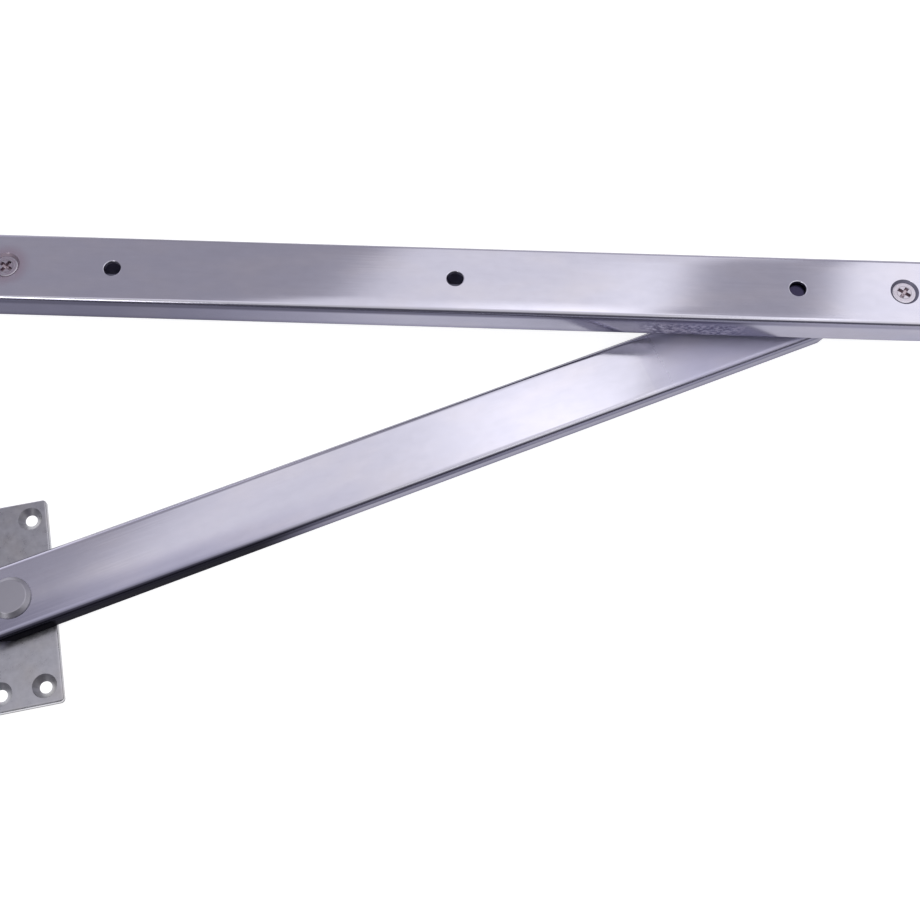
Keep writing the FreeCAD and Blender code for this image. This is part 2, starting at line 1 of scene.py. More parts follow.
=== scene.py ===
# %% [markdown]
# # Overhead door stay
#
# A door stay limits how far a door swings. This one is a folded steel rail that is screwed under the
# frame's head, a nylon shoe that slides in it, a U-section arm that turns on the shoe's stud, and a
# fixing plate on the door's top edge that the arm's other end is riveted to. Everything that shows is
# zinc-plated steel, so most of this lesson is about clean sheet-metal shapes and what they reflect.
#
# The CAD model comes first, as a fixed frame. Its solids have the right sizes, so each piece made here
# reads its size and place from them. The rail and the arm mirror each other, so a ray may go to and fro
# between mirrors a few times more than Blender's default allows.

# %% Load the frame
import json
import math

import bmesh
import bpy
import numpy as np
from mathutils import Matrix, Vector


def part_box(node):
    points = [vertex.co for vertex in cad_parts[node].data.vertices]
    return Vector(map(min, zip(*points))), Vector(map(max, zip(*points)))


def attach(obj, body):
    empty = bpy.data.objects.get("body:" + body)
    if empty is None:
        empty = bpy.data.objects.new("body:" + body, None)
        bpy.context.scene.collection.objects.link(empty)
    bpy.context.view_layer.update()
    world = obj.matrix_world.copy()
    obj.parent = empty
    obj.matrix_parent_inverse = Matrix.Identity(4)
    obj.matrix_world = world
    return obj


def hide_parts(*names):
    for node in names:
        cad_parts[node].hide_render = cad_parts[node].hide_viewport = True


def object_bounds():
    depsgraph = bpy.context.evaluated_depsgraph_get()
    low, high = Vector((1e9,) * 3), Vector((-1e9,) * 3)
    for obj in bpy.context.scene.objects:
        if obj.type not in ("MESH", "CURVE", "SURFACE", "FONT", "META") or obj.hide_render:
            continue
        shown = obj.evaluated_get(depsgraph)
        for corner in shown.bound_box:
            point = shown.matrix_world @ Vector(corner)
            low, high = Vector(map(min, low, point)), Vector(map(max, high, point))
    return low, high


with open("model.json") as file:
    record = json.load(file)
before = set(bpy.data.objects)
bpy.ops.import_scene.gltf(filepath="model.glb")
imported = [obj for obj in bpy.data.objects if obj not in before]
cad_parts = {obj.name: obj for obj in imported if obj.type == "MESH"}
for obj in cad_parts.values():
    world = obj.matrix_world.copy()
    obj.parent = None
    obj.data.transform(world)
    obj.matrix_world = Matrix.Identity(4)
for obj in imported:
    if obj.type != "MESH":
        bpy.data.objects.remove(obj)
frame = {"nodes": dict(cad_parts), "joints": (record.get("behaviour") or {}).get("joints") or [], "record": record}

CAD_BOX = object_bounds()
nodes = frame["nodes"]
mounts = {mount["name"]: mount for mount in frame["record"]["mounts"]}
joints = {joint["name"]: joint for joint in frame["joints"]}
mm = 0.001
GLOSSY_BOUNCES = 8
scene = bpy.context.scene
scene.view_settings.view_transform = "Standard"
scene.cycles.glossy_bounces = GLOSSY_BOUNCES
print("pieces in the frame:", len(nodes))

# %% [markdown]
# ## Camera
#
# The rail's three holes are evenly spaced, its edges are parallel and the arm and plate are flat. That
# is enough to solve where the photograph was taken from: almost half a metre above the stay, on the
# arm's side, looking down and a little forwards. The camera could be aimed at a target instead, but
# the solve gives its angles, and so they are used. A camera looks along its own -Z, so a turn about X
# tips it forwards, and the small turn about Z before that is the slant of the rail in the picture.

# %% Camera
CAMERA_PLACE = Vector((4.05, -280.0, 456.9)) * mm
LOOK_FORWARDS = math.radians(23.85)
LOOK_SLANT = math.radians(1.70)
FOCAL_PIXELS = 1350.1
PICTURE_PIXELS = 920
SENSOR_WIDTH = 36.0

lens = bpy.data.cameras.new("picture_lens")
lens.sensor_width = SENSOR_WIDTH
lens.lens = FOCAL_PIXELS / PICTURE_PIXELS * SENSOR_WIDTH
camera = bpy.data.objects.new("picture_camera", lens)
look = Matrix.Rotation(LOOK_FORWARDS, 4, "X") @ Matrix.Rotation(LOOK_SLANT, 4, "Z")
camera.matrix_world = Matrix.Translation(CAMERA_PLACE) @ look
scene.collection.objects.link(camera)
scene.camera = camera
print("lens of", round(lens.lens, 1), "mm")

# %% [markdown]
# ## Sums on sockets
#
# A finish is a small computation: where am I on the piece, how streaky is the steel here, how dull.
# Node by node that is hard to read, so one class wraps a socket and lets Python's own signs add the
# Math nodes. `1 - mask` and `mask * 0.3` then read as they would on paper.

# %% Sums on sockets
class Wire:
    """A node's output socket. Sums on it add Math nodes, and its node method adds any other node."""

    def __init__(self, socket):
        self.socket = socket

    @classmethod
    def node(cls, tree, kind, settings=None, inputs=None, out=0):
        """Adds a node of that kind. Its settings are set first, then its sockets' values or links."""
        made = tree.nodes.new("ShaderNode" + kind)
        for name, setting in (settings or {}).items():
            setattr(made, name, setting)
        for name, given in (inputs or {}).items():
            if isinstance(given, cls):
                tree.links.new(given.socket, made.inputs[name])
            else:
                made.inputs[name].default_value = given
        return cls(made.outputs[out])

    def maths(self, operation, first, second=0.0):
        """A Math node on two values or wires."""
        return Wire.node(self.socket.id_data, "Math", {"operation": operation}, {0: first, 1: second})

    def __add__(self, other):
        return self.maths("ADD", self, other)

    def __radd__(self, other):
        return self.maths("ADD", other, self)

    def __sub__(self, other):
        return self.maths("SUBTRACT", self, other)

    def __rsub__(self, other):
        return self.maths("SUBTRACT", other, self)

    def __mul__(self, other):
        return self.maths("MULTIPLY", self, other)

    def __rmul__(self, other):
        return self.maths("MULTIPLY", other, self)

    def __abs__(self):
        return self.maths("ABSOLUTE", self)

    def ease(self, low, high):
        """0 at low and 1 at high, with a smooth change between them."""
        settings = {"interpolation_type": "SMOOTHSTEP"}
        return Wire.node(self.socket.id_data, "MapRange", settings, {0: self, 1: low, 2: high})

    def noise(self, stretch, detail=2.0, rough=0.5):
        """Soft noise from 0 to 1 on this vector, with features of the given sizes along x, y and z."""
        tree = self.socket.id_data
        sizes = tuple(1.0 / size for size in stretch)
        scaled = Wire.node(tree, "VectorMath", {"operation": "MULTIPLY"}, {0: self, 1: sizes})
        inputs = {"Vector": scaled, "Scale": 1.0, "Detail": detail, "Roughness": rough}
        return Wire.node(tree, "TexNoise", inputs=inputs)


# %% Colours, vectors and shaders
def blend(tree, share, first, second, how="MIX"):
    """A Mix node on two colours."""
    settings = {"data_type": "RGBA", "blend_type": how}
    return Wire.node(tree, "Mix", settings, {0: share, 6: first, 7: second}, out=2)


def parts_of(vector):
    """The x, y and z of a vector wire."""
    node = Wire.node(vector.socket.id_data, "SeparateXYZ", inputs={0: vector}).socket.node
    return [Wire(socket) for socket in node.outputs]


def feed(shader, **inputs):
    """Links wires to a shader's sockets, whose names are written with _ for a space."""
    for name, wire in inputs.items():
        shader.id_data.links.new(wire.socket, shader.inputs[name.replace("_", " ")])


# %% [markdown]
# ## Floor
#
# The picture is a cut-out on white. A matt floor under plain light would be grey, and stronger lamps
# would burn out the steel. So the floor is a matt grey that takes the stay's shadow, and to rays from
# the camera, and to mirrored and transmitted ones, it adds enough light of its own to come out white.
# That light is weaker in a soft-edged strip under the rail, so that its holes look down into shade.

# %% Floor
FLOOR_HALF = 3.0
FLOOR_COLOUR = (0.50, 0.50, 0.50, 1.0)
FLOOR_GLOW = 0.84
STRIP_SHADE = 0.80
STRIP_MIDDLE = 12 * mm
STRIP_HALF = 14 * mm
STRIP_BLUR = 4 * mm
STRIP_END_BLUR = 10 * mm


def new_material(name):
    """A material, its node tree, emptied but for the output, and that output node."""
    material = bpy.data.materials.new(name)
    material.use_nodes = True
    tree = material.node_tree
    tree.nodes.clear()
    return material, tree, tree.nodes.new("ShaderNodeOutputMaterial")


def floor_finish():
    """Matt and pale, with light of its own for rays that see it as a background."""
    material, tree, output = new_material("pale_floor")
    matt = Wire.node(tree, "BsdfDiffuse", inputs={"Color": FLOOR_COLOUR})
    path = Wire.node(tree, "LightPath", out="Is Camera Ray")
    glossy = Wire(path.socket.node.outputs["Is Glossy Ray"])
    through = Wire(path.socket.node.outputs["Is Transmission Ray"])
    seen = path.maths("MAXIMUM", path.maths("MAXIMUM", path, glossy), through)
    x, y, _ = parts_of(Wire.node(tree, "TexCoord", out="Object"))
    low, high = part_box("rail")
    middle = (low.x + high.x) / 2
    reach = high.x - middle
    along = abs(x - middle).ease(reach + STRIP_END_BLUR, reach - STRIP_END_BLUR)
    across = abs(y - STRIP_MIDDLE).ease(STRIP_HALF + STRIP_BLUR, STRIP_HALF - STRIP_BLUR)
    strength = seen * (1 - STRIP_SHADE * (along * across)) * FLOOR_GLOW
    glow = Wire.node(tree, "Emission", inputs={"Strength": strength})
    both = Wire.node(tree, "AddShader", inputs={0: matt, 1: glow})
    feed(output, Surface=both)
    return material


def lay_floor(level):
    """A square floor at that height."""
    mesh = bpy.data.meshes.new("floor")
    signs = ((-1, -1), (1, -1), (1, 1), (-1, 1))
    corners = [(x * FLOOR_HALF, y * FLOOR_HALF, level) for x, y in signs]
    mesh.from_pydata(corners, [], [(0, 1, 2, 3)])
    mesh.materials.append(floor_finish())
    floor = bpy.data.objects.new("floor", mesh)
    scene.collection.objects.link(floor)


lay_floor(CAD_BOX[0].z)
print("floor at", round(CAD_BOX[0].z / mm, 1), "mm")

# %% [markdown]
# ## Light
#
# Bright metal shows its surroundings, so the lights are placed by what the picture's flat faces
# mirror. From this camera a point of the rail's face at x, y mirrors the point (2x - 4, 280 + 2y) of
# a plane at the camera's height, in millimetres. The bright stretch of the rail and of the arm is one
# large soft box there, with a slanted left edge, a dimmer notch on the right and two brighter patches,
# and the rail's bright right end is another. Both reach back past the camera, so the lower bends, which
# mirror what is overhead, stay light before they turn dark. A picture of a studio wrapped round the
# scene could give such mirrored shapes too, but it is endlessly far away, and in a long flat bar a near
# light slides differently. So each box is a card that glows and lets what is behind it through, and
# where two overlap their light adds up. A lamp far off on the left draws the white line on the rail's
# left end. The room is grey overhead, darker low down and darkest behind the camera.

# %% Cards that glow
CEILING = CAMERA_PLACE.z


def glow_card(name, low, high, glow):
    """A card at the camera's height between two corners in mm, which glows and lets light through.

    The glow function gives its strength at a point x, y of the card, in mm.
    """
    material, tree, output = new_material(name)
    place = Wire.node(tree, "TexCoord", out="Object")
    place = Wire.node(tree, "VectorMath", {"operation": "SCALE"}, {0: place, "Scale": 1 / mm})
    light = Wire.node(tree, "Emission", inputs={"Strength": glow(place)})
    clear = Wire.node(tree, "BsdfTransparent")
    feed(output, Surface=Wire.node(tree, "AddShader", inputs={0: clear, 1: light}))
    mesh = bpy.data.meshes.new(name)
    corners = [(low[0], low[1]), (low[0], high[1]), (high[0], high[1]), (high[0], low[1])]
    mesh.from_pydata([(x * mm, y * mm, CEILING) for x, y in corners], [], [(0, 1, 2, 3)])
    mesh.materials.append(material)
    card = bpy.data.objects.new(name, mesh)
    card.visible_camera = False
    scene.collection.objects.link(card)


print("cards hang at", round(CEILING / mm, 1), "mm")


# %% The soft boxes
MIRRORED_Y = 280
BOX_LEFT = -290.4
BOX_SLANT = 0.78
SLANT_END = 300.0
NOTCH_SLANT = 0.35
BROAD_PATCH = ((95, 165), (190, 115))
SMALL_PATCH = ((152, 272), (66, 80))
END_SLANT = 0.25


def distance(vector, point):
    """How far a vector wire is from a fixed point."""
    settings = {"operation": "DISTANCE"}
    return Wire.node(vector.socket.id_data, "VectorMath", settings, {0: vector, 1: point}, out="Value")


def patch(place, middle, reach):
    """1 at a middle and 0 from an oval's edge outwards, whose half sizes are the reach."""
    tree = place.socket.id_data
    centre = (*middle, CEILING / mm)
    offset = Wire.node(tree, "VectorMath", {"operation": "SUBTRACT"}, {0: place, 1: centre})
    share = Wire.node(tree, "VectorMath", {"operation": "DIVIDE"}, {0: offset, 1: (*reach, 1)})
    return distance(share, (0, 0, 0)).ease(1, 0)


def main_glow(place):
    """A wide box, whose strength is a product of eased edges, plus two brighter patches.

    Its left edge slants with y as far as SLANT_END, and its right side has a slanted notch.
    """
    x, y, _ = parts_of(place)
    from_left = x - BOX_SLANT * y.maths("MINIMUM", y, SLANT_END) - BOX_LEFT
    from_notch = x + NOTCH_SLANT * (MIRRORED_Y - y)
    notch = from_notch.ease(160, 200) * y.ease(120, 200) * y.ease(520, 330)
    box = from_left.ease(-26, 26) * y.ease(-520, -290) * y.ease(1100, 330)
    patches = 0.72 * patch(place, *BROAD_PATCH) + 0.28 * patch(place, *SMALL_PATCH)
    return 0.60 * box * (1 - 0.92 * notch) + patches * (1 - notch)


def end_glow(place):
    """A plain box beyond the rail's right end, whose left edge slants a little."""
    x, y, _ = parts_of(place)
    from_left = x - END_SLANT * (y - MIRRORED_Y)
    return 0.92 * from_left.ease(277, 312) * x.ease(700, 600) * y.ease(-700, -200) * y.ease(600, 440)


# %% Lamp and room
ROOM_COLOUR = (0.935, 0.91, 1.035, 1.0)
WHITE = (1.0, 1.0, 1.0, 1.0)


def area_lamp(name, centre, target, size, watts):
    """A rectangular area lamp that faces a target."""
    data = bpy.data.lights.new(name, "AREA")
    data.shape = "RECTANGLE"
    data.size, data.size_y = size
    data.energy = watts
    lamp = bpy.data.objects.new(name, data)
    aim = (Vector(target) - Vector(centre)).to_track_quat("-Z", "Y")
    lamp.matrix_world = Matrix.Translation(centre) @ aim.to_matrix().to_4x4()
    lamp.visible_camera = False
    scene.collection.objects.link(lamp)


def grey_room(top, low, back):
    """A world that is grey overhead, darker low down and darkest on the camera's side.

    Low down on the far side it is lighter, more so to the right, which the upper bends mirror, and
    most of all at the far left, for the arm's. The camera itself sees plain white.
    """
    world = bpy.data.worlds.new("room")
    world.use_nodes = True
    scene.world = world
    tree = world.node_tree
    tree.nodes.clear()
    x, y, height = parts_of(Wire.node(tree, "TexCoord", out="Generated"))
    lower = 0.16 + 0.40 * x.ease(-0.35, 0.15) + x.ease(-0.22, -0.4)
    lower = low + y.ease(0.3, 0.8) * lower
    strength = lower + (top - lower) * height.ease(0.1, 0.75)
    strength = back + (strength - back) * y.ease(-0.25, 0.05)
    light = Wire.node(tree, "Background", inputs={"Color": ROOM_COLOUR, "Strength": strength})
    white = Wire.node(tree, "Background", inputs={"Color": WHITE, "Strength": 1.0})
    seen = Wire.node(tree, "LightPath", out="Is Camera Ray")
    output = tree.nodes.new("ShaderNodeOutputWorld")
    feed(output, Surface=Wire.node(tree, "MixShader", inputs={0: seen, 1: light, 2: white}))


grey_room(top=0.48, low=0.12, back=0.18)
glow_card("main_soft_box", low=(-720, -520), high=(290, 1100), glow=main_glow)
glow_card("end_soft_box", low=(100, -700), high=(700, 600), glow=end_glow)
area_lamp("far_lamp", centre=(-1.2, -2.2, 1.9), target=(0, 0, 0), size=(0.8, 1.2), watts=10.5)

# %% [markdown]
# ## Surfaces from numbers
#
# Sheet metal is a thin slab bent along a few lines, and turned parts are a profile spun round an axis.
# Both are grids of points that numpy works out at once: one helper rounds the corners of a line with
# arcs, and another turns any grid into a mesh. A bent slab could also be drawn flat and thickened with
# a Solidify modifier, but the arcs' two radii then aren't the real ones.

# %% Surfaces from numbers
ARC_STEPS = 12
SPIN_STEPS = 96
MERGE_GAP = 2e-7
TINY_EDGE = 1e-7


def rounded(corners, radii, closed=False, steps=ARC_STEPS):
    """A line through corners with an arc at each, and the line's left-hand normals, both as arrays.

    An arc of radius r at a turn of angle t starts r tan(t / 2) before the corner. Its points are the
    arc's centre plus r times the normal, turned step by step from the first side's to the second's.
    """
    here = np.array(corners, float)
    radius = np.array(radii, float)[:, None]
    side = np.roll(here, -1, 0) - here
    side /= np.linalg.norm(side, axis=1)[:, None]
    arriving = np.roll(side, 1, 0)
    leaving = side
    if not closed:
        arriving[0] = leaving[0]
        leaving = np.vstack([side[:-1], arriving[-1:]])
    cross = arriving[:, 0] * leaving[:, 1] - arriving[:, 1] * leaving[:, 0]
    turn = np.arctan2(cross, (arriving * leaving).sum(1))[:, None]
    hand = np.sign(turn)
    normal = np.stack([-arriving[:, 1], arriving[:, 0]], 1)
    centre = here - arriving * radius * np.tan(abs(turn) / 2) + normal * hand * radius
    angle = turn * np.linspace(0, 1, steps + 1)[None, :]
    normals = normal[:, None] * np.cos(angle)[..., None] - arriving[:, None] * np.sin(angle)[..., None]
    points = centre[:, None] - (hand * radius)[..., None] * normals
    return points.reshape(-1, 2), normals.reshape(-1, 2)


# %% Grids into meshes
def skin(name, points, faces):
    """A mesh object from points in metres and lists of corner numbers, with doubles merged."""
    mesh = bpy.data.meshes.new(name)
    mesh.from_pydata(points.reshape(-1, 3).tolist(), [], faces)
    work = bmesh.new()
    work.from_mesh(mesh)
    bmesh.ops.remove_doubles(work, verts=work.verts, dist=MERGE_GAP)
    bmesh.ops.dissolve_degenerate(work, edges=work.edges, dist=TINY_EDGE)
    bmesh.ops.recalc_face_normals(work, faces=work.faces)
    work.to_mesh(mesh)
    work.free()
    piece = bpy.data.objects.new(name, mesh)
    scene.collection.objects.link(piece)
    return piece


def grid_faces(rows, columns, wrap_rows=False, wrap_columns=False):
    """Corner numbers of the quads between neighbouring rows and columns of a grid."""
    index = np.arange(rows * columns).reshape(rows, columns)
    if wrap_rows:
        index = np.vstack([index, index[:1]])
    if wrap_columns:
        index = np.hstack([index, index[:, :1]])
    quads = [index[:-1, :-1], index[1:, :-1], index[1:, 1:], index[:-1, 1:]]
    return np.stack(quads, -1).reshape(-1, 4).tolist()


def spun(name, profile, centre, ring=False, steps=SPIN_STEPS, flats=None):
    """A profile of radius and height spun round the upright axis at centre.

    Point i, j is (r_i cos a_j, r_i sin a_j, z_i). Where flats gives a half width for a row, y is held
    within it, which planes two flats on that row.
    """
    radius, height = profile[:, :1], profile[:, 1:]
    angle = np.linspace(0, 2 * np.pi, steps, endpoint=False)[None, :]
    x = radius * np.cos(angle)
    y = radius * np.sin(angle)
    if flats is not None:
        y = np.clip(y, -flats[:, None], flats[:, None])
    z = height + 0 * angle
    points = np.stack([x, y, z], -1) + np.array(centre)
    return skin(name, points, grid_faces(*x.shape, wrap_rows=ring, wrap_columns=True))


# %% Cutting and finishing
def ready_mesh(piece):
    """Gives the piece the mesh that its modifiers make, and drops them."""
    bpy.context.view_layer.update()
    made = bpy.data.meshes.new_from_object(piece.evaluated_get(bpy.context.evaluated_depsgraph_get()))
    piece.modifiers.clear()
    old = piece.data
    piece.data = made
    bpy.data.meshes.remove(old)


def cut(piece, tools):
    """Takes the tools' shapes out of the piece."""
    for tool in tools:
        step = piece.modifiers.new(tool.name, "BOOLEAN")
        step.operation = "DIFFERENCE"
        step.solver = "EXACT"
        step.object = tool
    ready_mesh(piece)
    for tool in tools:
        bpy.data.objects.remove(tool)


def finish_piece(piece, body, replaced, material, edge=0.0, sharp=35.0):
    """Smooths a piece, breaks its sharp edges, gives it a material and a body, hides the CAD node."""
    limit = math.radians(sharp)
    piece.data.shade_smooth()
    if edge:
        bevel = piece.modifiers.new("broken_edges", "BEVEL")
        bevel.width = edge
        bevel.segments = 2
        bevel.limit_method = "ANGLE"
        bevel.angle_limit = limit
        bevel.harden_normals = True
    else:
        piece.data.set_sharp_from_angle(angle=limit)
    even = piece.modifiers.new("even_faces", "WEIGHTED_NORMAL")
    even.weight = 100
    even.keep_sharp = True
    piece.data.materials.clear()
    piece.data.materials.append(material)
    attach(piece, body)
    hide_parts(replaced)
    print(piece.name, "has", len(piece.data.polygons), "faces")


# %% [markdown]
# ## Bright zinc
#
# Zinc plate is a thin, slightly bluish metal coat. On rolled strip it keeps the strip's fine drawing
# lines, so it is streaky along the length and a little cloudy. The metal look is one metallic shader:
# streak and cloud noise move its colour by a few percent and its roughness by a little more. A very
# shallow bump lets the lines catch the light, and adds long waves, because no strip is quite flat. A
# photographed texture could show such lines too, but it has one size, and light and shade baked in.
# Object coordinates hold the pattern to the piece, and a Mapping node turns it along the strip. Where
# shade is painted into the steel's colour, that colour also turns cooler, towards blue. A Specular
# Tint of a half keeps the bends from turning white where they are seen at a glancing angle.

# %% Bright zinc
STREAKS = (50, 0.5, 0.5)
CLOUDS = (34, 13, 13)
SCRATCHES = (9, 0.22, 0.22)
BLOTCHES = (6, 3.5, 3.5)
WAVES = (45, 14, 14)
GLANCING = (0.5, 0.5, 0.5, 1.0)
BRIGHT = (0.555, 0.547, 0.625, 1.0)
WARM = (0.565, 0.548, 0.605, 1.0)
# the blue that painted shade pulls the colour towards
COOL = (0.90, 0.885, 1.17, 1.0)


def metal(tree, rough):
    """A metallic shader with a plain roughness, already joined to the tree's output."""
    shader = tree.nodes.new("ShaderNodeBsdfPrincipled")
    shader.inputs["Metallic"].default_value = 1.0
    shader.inputs["Roughness"].default_value = rough
    output = next(node for node in tree.nodes if node.type == "OUTPUT_MATERIAL")
    feed(output, Surface=Wire(shader.outputs[0]))
    return shader


def local_mm(tree, centre, turn):
    """The piece's own coordinates in millimetres, about centre and turned about the upright axis."""
    place = Wire.node(tree, "TexCoord", out="Object")
    inputs = {"Vector": place, "Location": centre, "Rotation": (0, 0, turn), "Scale": (mm, mm, mm)}
    return Wire.node(tree, "Mapping", {"vector_type": "TEXTURE"}, inputs)


def grained(tree, shader, height, strength):
    """A shallow bump on the shader, from a wire of heights in tenths of a millimetre."""
    inputs = {"Height": height, "Strength": strength, "Distance": 0.1 * mm}
    feed(shader, Normal=Wire.node(tree, "Bump", inputs=inputs))


def zinc_strip(name, centre, turn, shade, tinge=None):
    """Bright zinc on rolled strip that lies along a line.

    The shade function gives the painted shade and reflection multiplied into its colour, from 0 to
    1, how much rougher than elsewhere, and what share of a matt film lies on it. The tinge function, if
    any, colours it further. Sizes of patterns are in mm along the strip, across it and up.
    """
    material, tree, _ = new_material(name)
    shader = metal(tree, 0.2)
    shader.inputs["Specular Tint"].default_value = GLANCING
    here = local_mm(tree, centre, turn)
    streaks = here.noise(STREAKS, detail=4)
    clouds = here.noise(CLOUDS, detail=3)
    scratches = here.noise(SCRATCHES, detail=2).ease(0.62, 0.74)
    shaded, rougher, film = shade(here)
    blotches = here.noise(BLOTCHES, detail=3)
    # painted shade and reflection darken the tone here, and below they also turn it bluer
    tone = (0.865 + 0.05 * streaks + 0.16 * clouds + 0.09 * blotches - 0.06 * scratches) * shaded
    tint = blend(tree, clouds.ease(0.4, 0.75), BRIGHT, WARM)
    colour = blend(tree, 1.0, tint, tone, "MULTIPLY")
    colour = blend(tree, 1 - shaded * (1 - film), colour, COOL, "MULTIPLY")
    if tinge:
        colour = tinge(tree, here, colour)
    feed(shader, Base_Color=colour, Roughness=0.10 + 0.05 * streaks + rougher, Metallic=1 - film)
    grained(tree, shader, streaks + 5 * here.noise(WAVES, detail=1), 0.05)
    return material


# %% [markdown]
# ## Rail
#
# The rail is one strip folded into a C: a flat web, two sides and two lips that leave a slot. Its
# section is the middle line of the sheet, with an arc at each bend, moved out and in by half the
# sheet. Carried along X that gives a closed slab whose bends have their true outer and inner radii. A
# curve with a bevel object could carry the section too, but in an array each point of it can end where
# it should, which the arm needs. A folded web isn't quite flat beside its bends: it starts to turn down
# a few millimetres before them, by less than four degrees, and the mirrored edge of a lamp shows that
# at once.
#
# The fixing holes and the end screws' countersinks are then cut with spun tools. A hole's tool
# flares at the face, because a punched hole has a rolled-in edge, and that is what glints.

# %% Rail
RAIL_SHEET = 1.5 * mm
RAIL_BEND = 0.5 * mm
LIP_GAP = 10.0 * mm
EDGE_ROLL = 0.45 * mm
CUT_OVER = 1.0 * mm
SINK_GAP = 0.33 * mm
CROWN_START = 11.1 * mm
CROWN_TURN = math.radians(3.8)
CROWN_RADIUS = 56.0 * mm
FLARE_POINTS = 9
RAIL_EDGE = 0.12 * mm

rail_low, rail_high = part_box("rail")
hole_radius = mounts["rail_outer_holes"]["dims"]["hole_r_mm"] * mm
hole_reach = mounts["rail_outer_holes"]["dims"]["spacing_x_mm"] * mm / 2
print("rail of", round((rail_high.x - rail_low.x) / mm, 1), "mm")


def folded(line, radii, sheet, ends):
    """A strip folded along a line, carried from one end to the other.

    A point of the section is the line's point plus or minus half the sheet along its normal. The ends
    function gives, for each point of the section, where the strip starts and stops.
    """
    middle, normal = rounded(line, radii)
    outer = middle + normal * sheet / 2
    inner = middle - normal * sheet / 2
    section = np.vstack([outer, inner[::-1]])
    stations = ends(section)
    rows = len(stations)
    count = len(section)
    points = np.zeros((rows, count, 3))
    points[..., 0] = stations
    points[..., 1:] = section
    faces = grid_faces(rows, count, wrap_columns=True)
    half = count // 2
    out = np.arange(half - 1)
    back = count - 1 - out
    strip = np.stack([out, out + 1, back - 1, back], 1)
    faces += strip.tolist() + (strip[:, ::-1] + (rows - 1) * count).tolist()
    return points, faces


# %% Tools for holes and countersinks
def sink_tool(x, y, level, radius, sink, depth):
    """A cone that opens at 90 degrees to the sink's radius at the given level."""
    reach = sink - radius
    profile = np.array([
        (0, level + CUT_OVER), (sink + CUT_OVER, level + CUT_OVER), (radius, level - reach),
        (radius, level - depth - CUT_OVER), (0, level - depth - CUT_OVER)])
    return spun("sink_tool", profile, (x, y, 0))


def hole_tool(x, y, level, radius, roll, depth):
    """A straight hole whose upper edge is rolled in: its wall flares along a quarter circle."""
    angle = np.linspace(0, np.pi / 2, FLARE_POINTS)
    flare = np.stack([radius + roll * (1 - np.cos(angle)), level - roll * (1 - np.sin(angle))], 1)
    below = [(0, level - depth - CUT_OVER), (radius, level - depth - CUT_OVER)]
    above = [(radius + roll, level + CUT_OVER), (0, level + CUT_OVER)]
    return spun("hole_tool", np.vstack([below, flare, above]), (x, y, 0))


# %% The rail's shape
def make_rail():
    """The folded rail, with its holes and countersinks."""
    half = rail_high.y
    low = rail_low.z
    line_y = half - RAIL_SHEET / 2
    line_low = low + RAIL_SHEET / 2
    top = -RAIL_SHEET / 2
    lip = LIP_GAP / 2
    bend = RAIL_BEND + RAIL_SHEET / 2
    dropped = top - (line_y - CROWN_START) * math.tan(CROWN_TURN)
    right = [(CROWN_START, top), (line_y, dropped), (line_y, line_low), (lip, line_low)]
    radii = [CROWN_RADIUS, bend, bend, 0]
    line = [(-y, z) for y, z in right[::-1]] + right
    span = np.array([[rail_low.x], [rail_high.x]])
    shape = folded(line, radii[::-1] + radii, RAIL_SHEET, lambda section: span)
    piece = skin("folded_rail", *shape)
    places = (-hole_reach, 0, hole_reach)
    tools = [hole_tool(x, 0, 0, hole_radius, EDGE_ROLL, RAIL_SHEET) for x in places]
    for screw in ("left_stop_screw", "right_stop_screw"):
        low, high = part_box(screw)
        sink = (high.x - low.x) / 2 - high.z + SINK_GAP
        tools.append(sink_tool((low.x + high.x) / 2, 0, 0, sink - RAIL_SHEET, sink, RAIL_SHEET))
    cut(piece, tools)
    return piece


rail = make_rail()
print(rail.name, "has", len(rail.data.vertices), "points")

# %% [markdown]
# ## Shade on the rail and the arm
#
# A metal's colour in a picture is mostly what it mirrors. On these strips shade and reflections are
# painted into that colour too: dark lines on the bends, darker sides towards the door, painted shade
# inside the folds, and beside the arm a mottling that is zinc worn by rubbing and a painted reflection
# of the arm. Grease only roughens the zinc and lays a matt film on it. Vertex paint could mark such
# places, but it would be only as sharp as the mesh. Here each is a product of eased steps along, across
# and up the strip, in millimetres from the middle hole on the rail and from the stud on the arm. A shade
# of 1 is clean zinc and 0 is black.

# %% The rail's zinc
# painted shade on the bends and sides away from the door, on the rail and the arm
FAR_SIDE_SHADE = 0.72
REDDISH = (0.50, 0.415, 0.48, 1.0)
REDDISH_REACH = (11.0, 5.0)


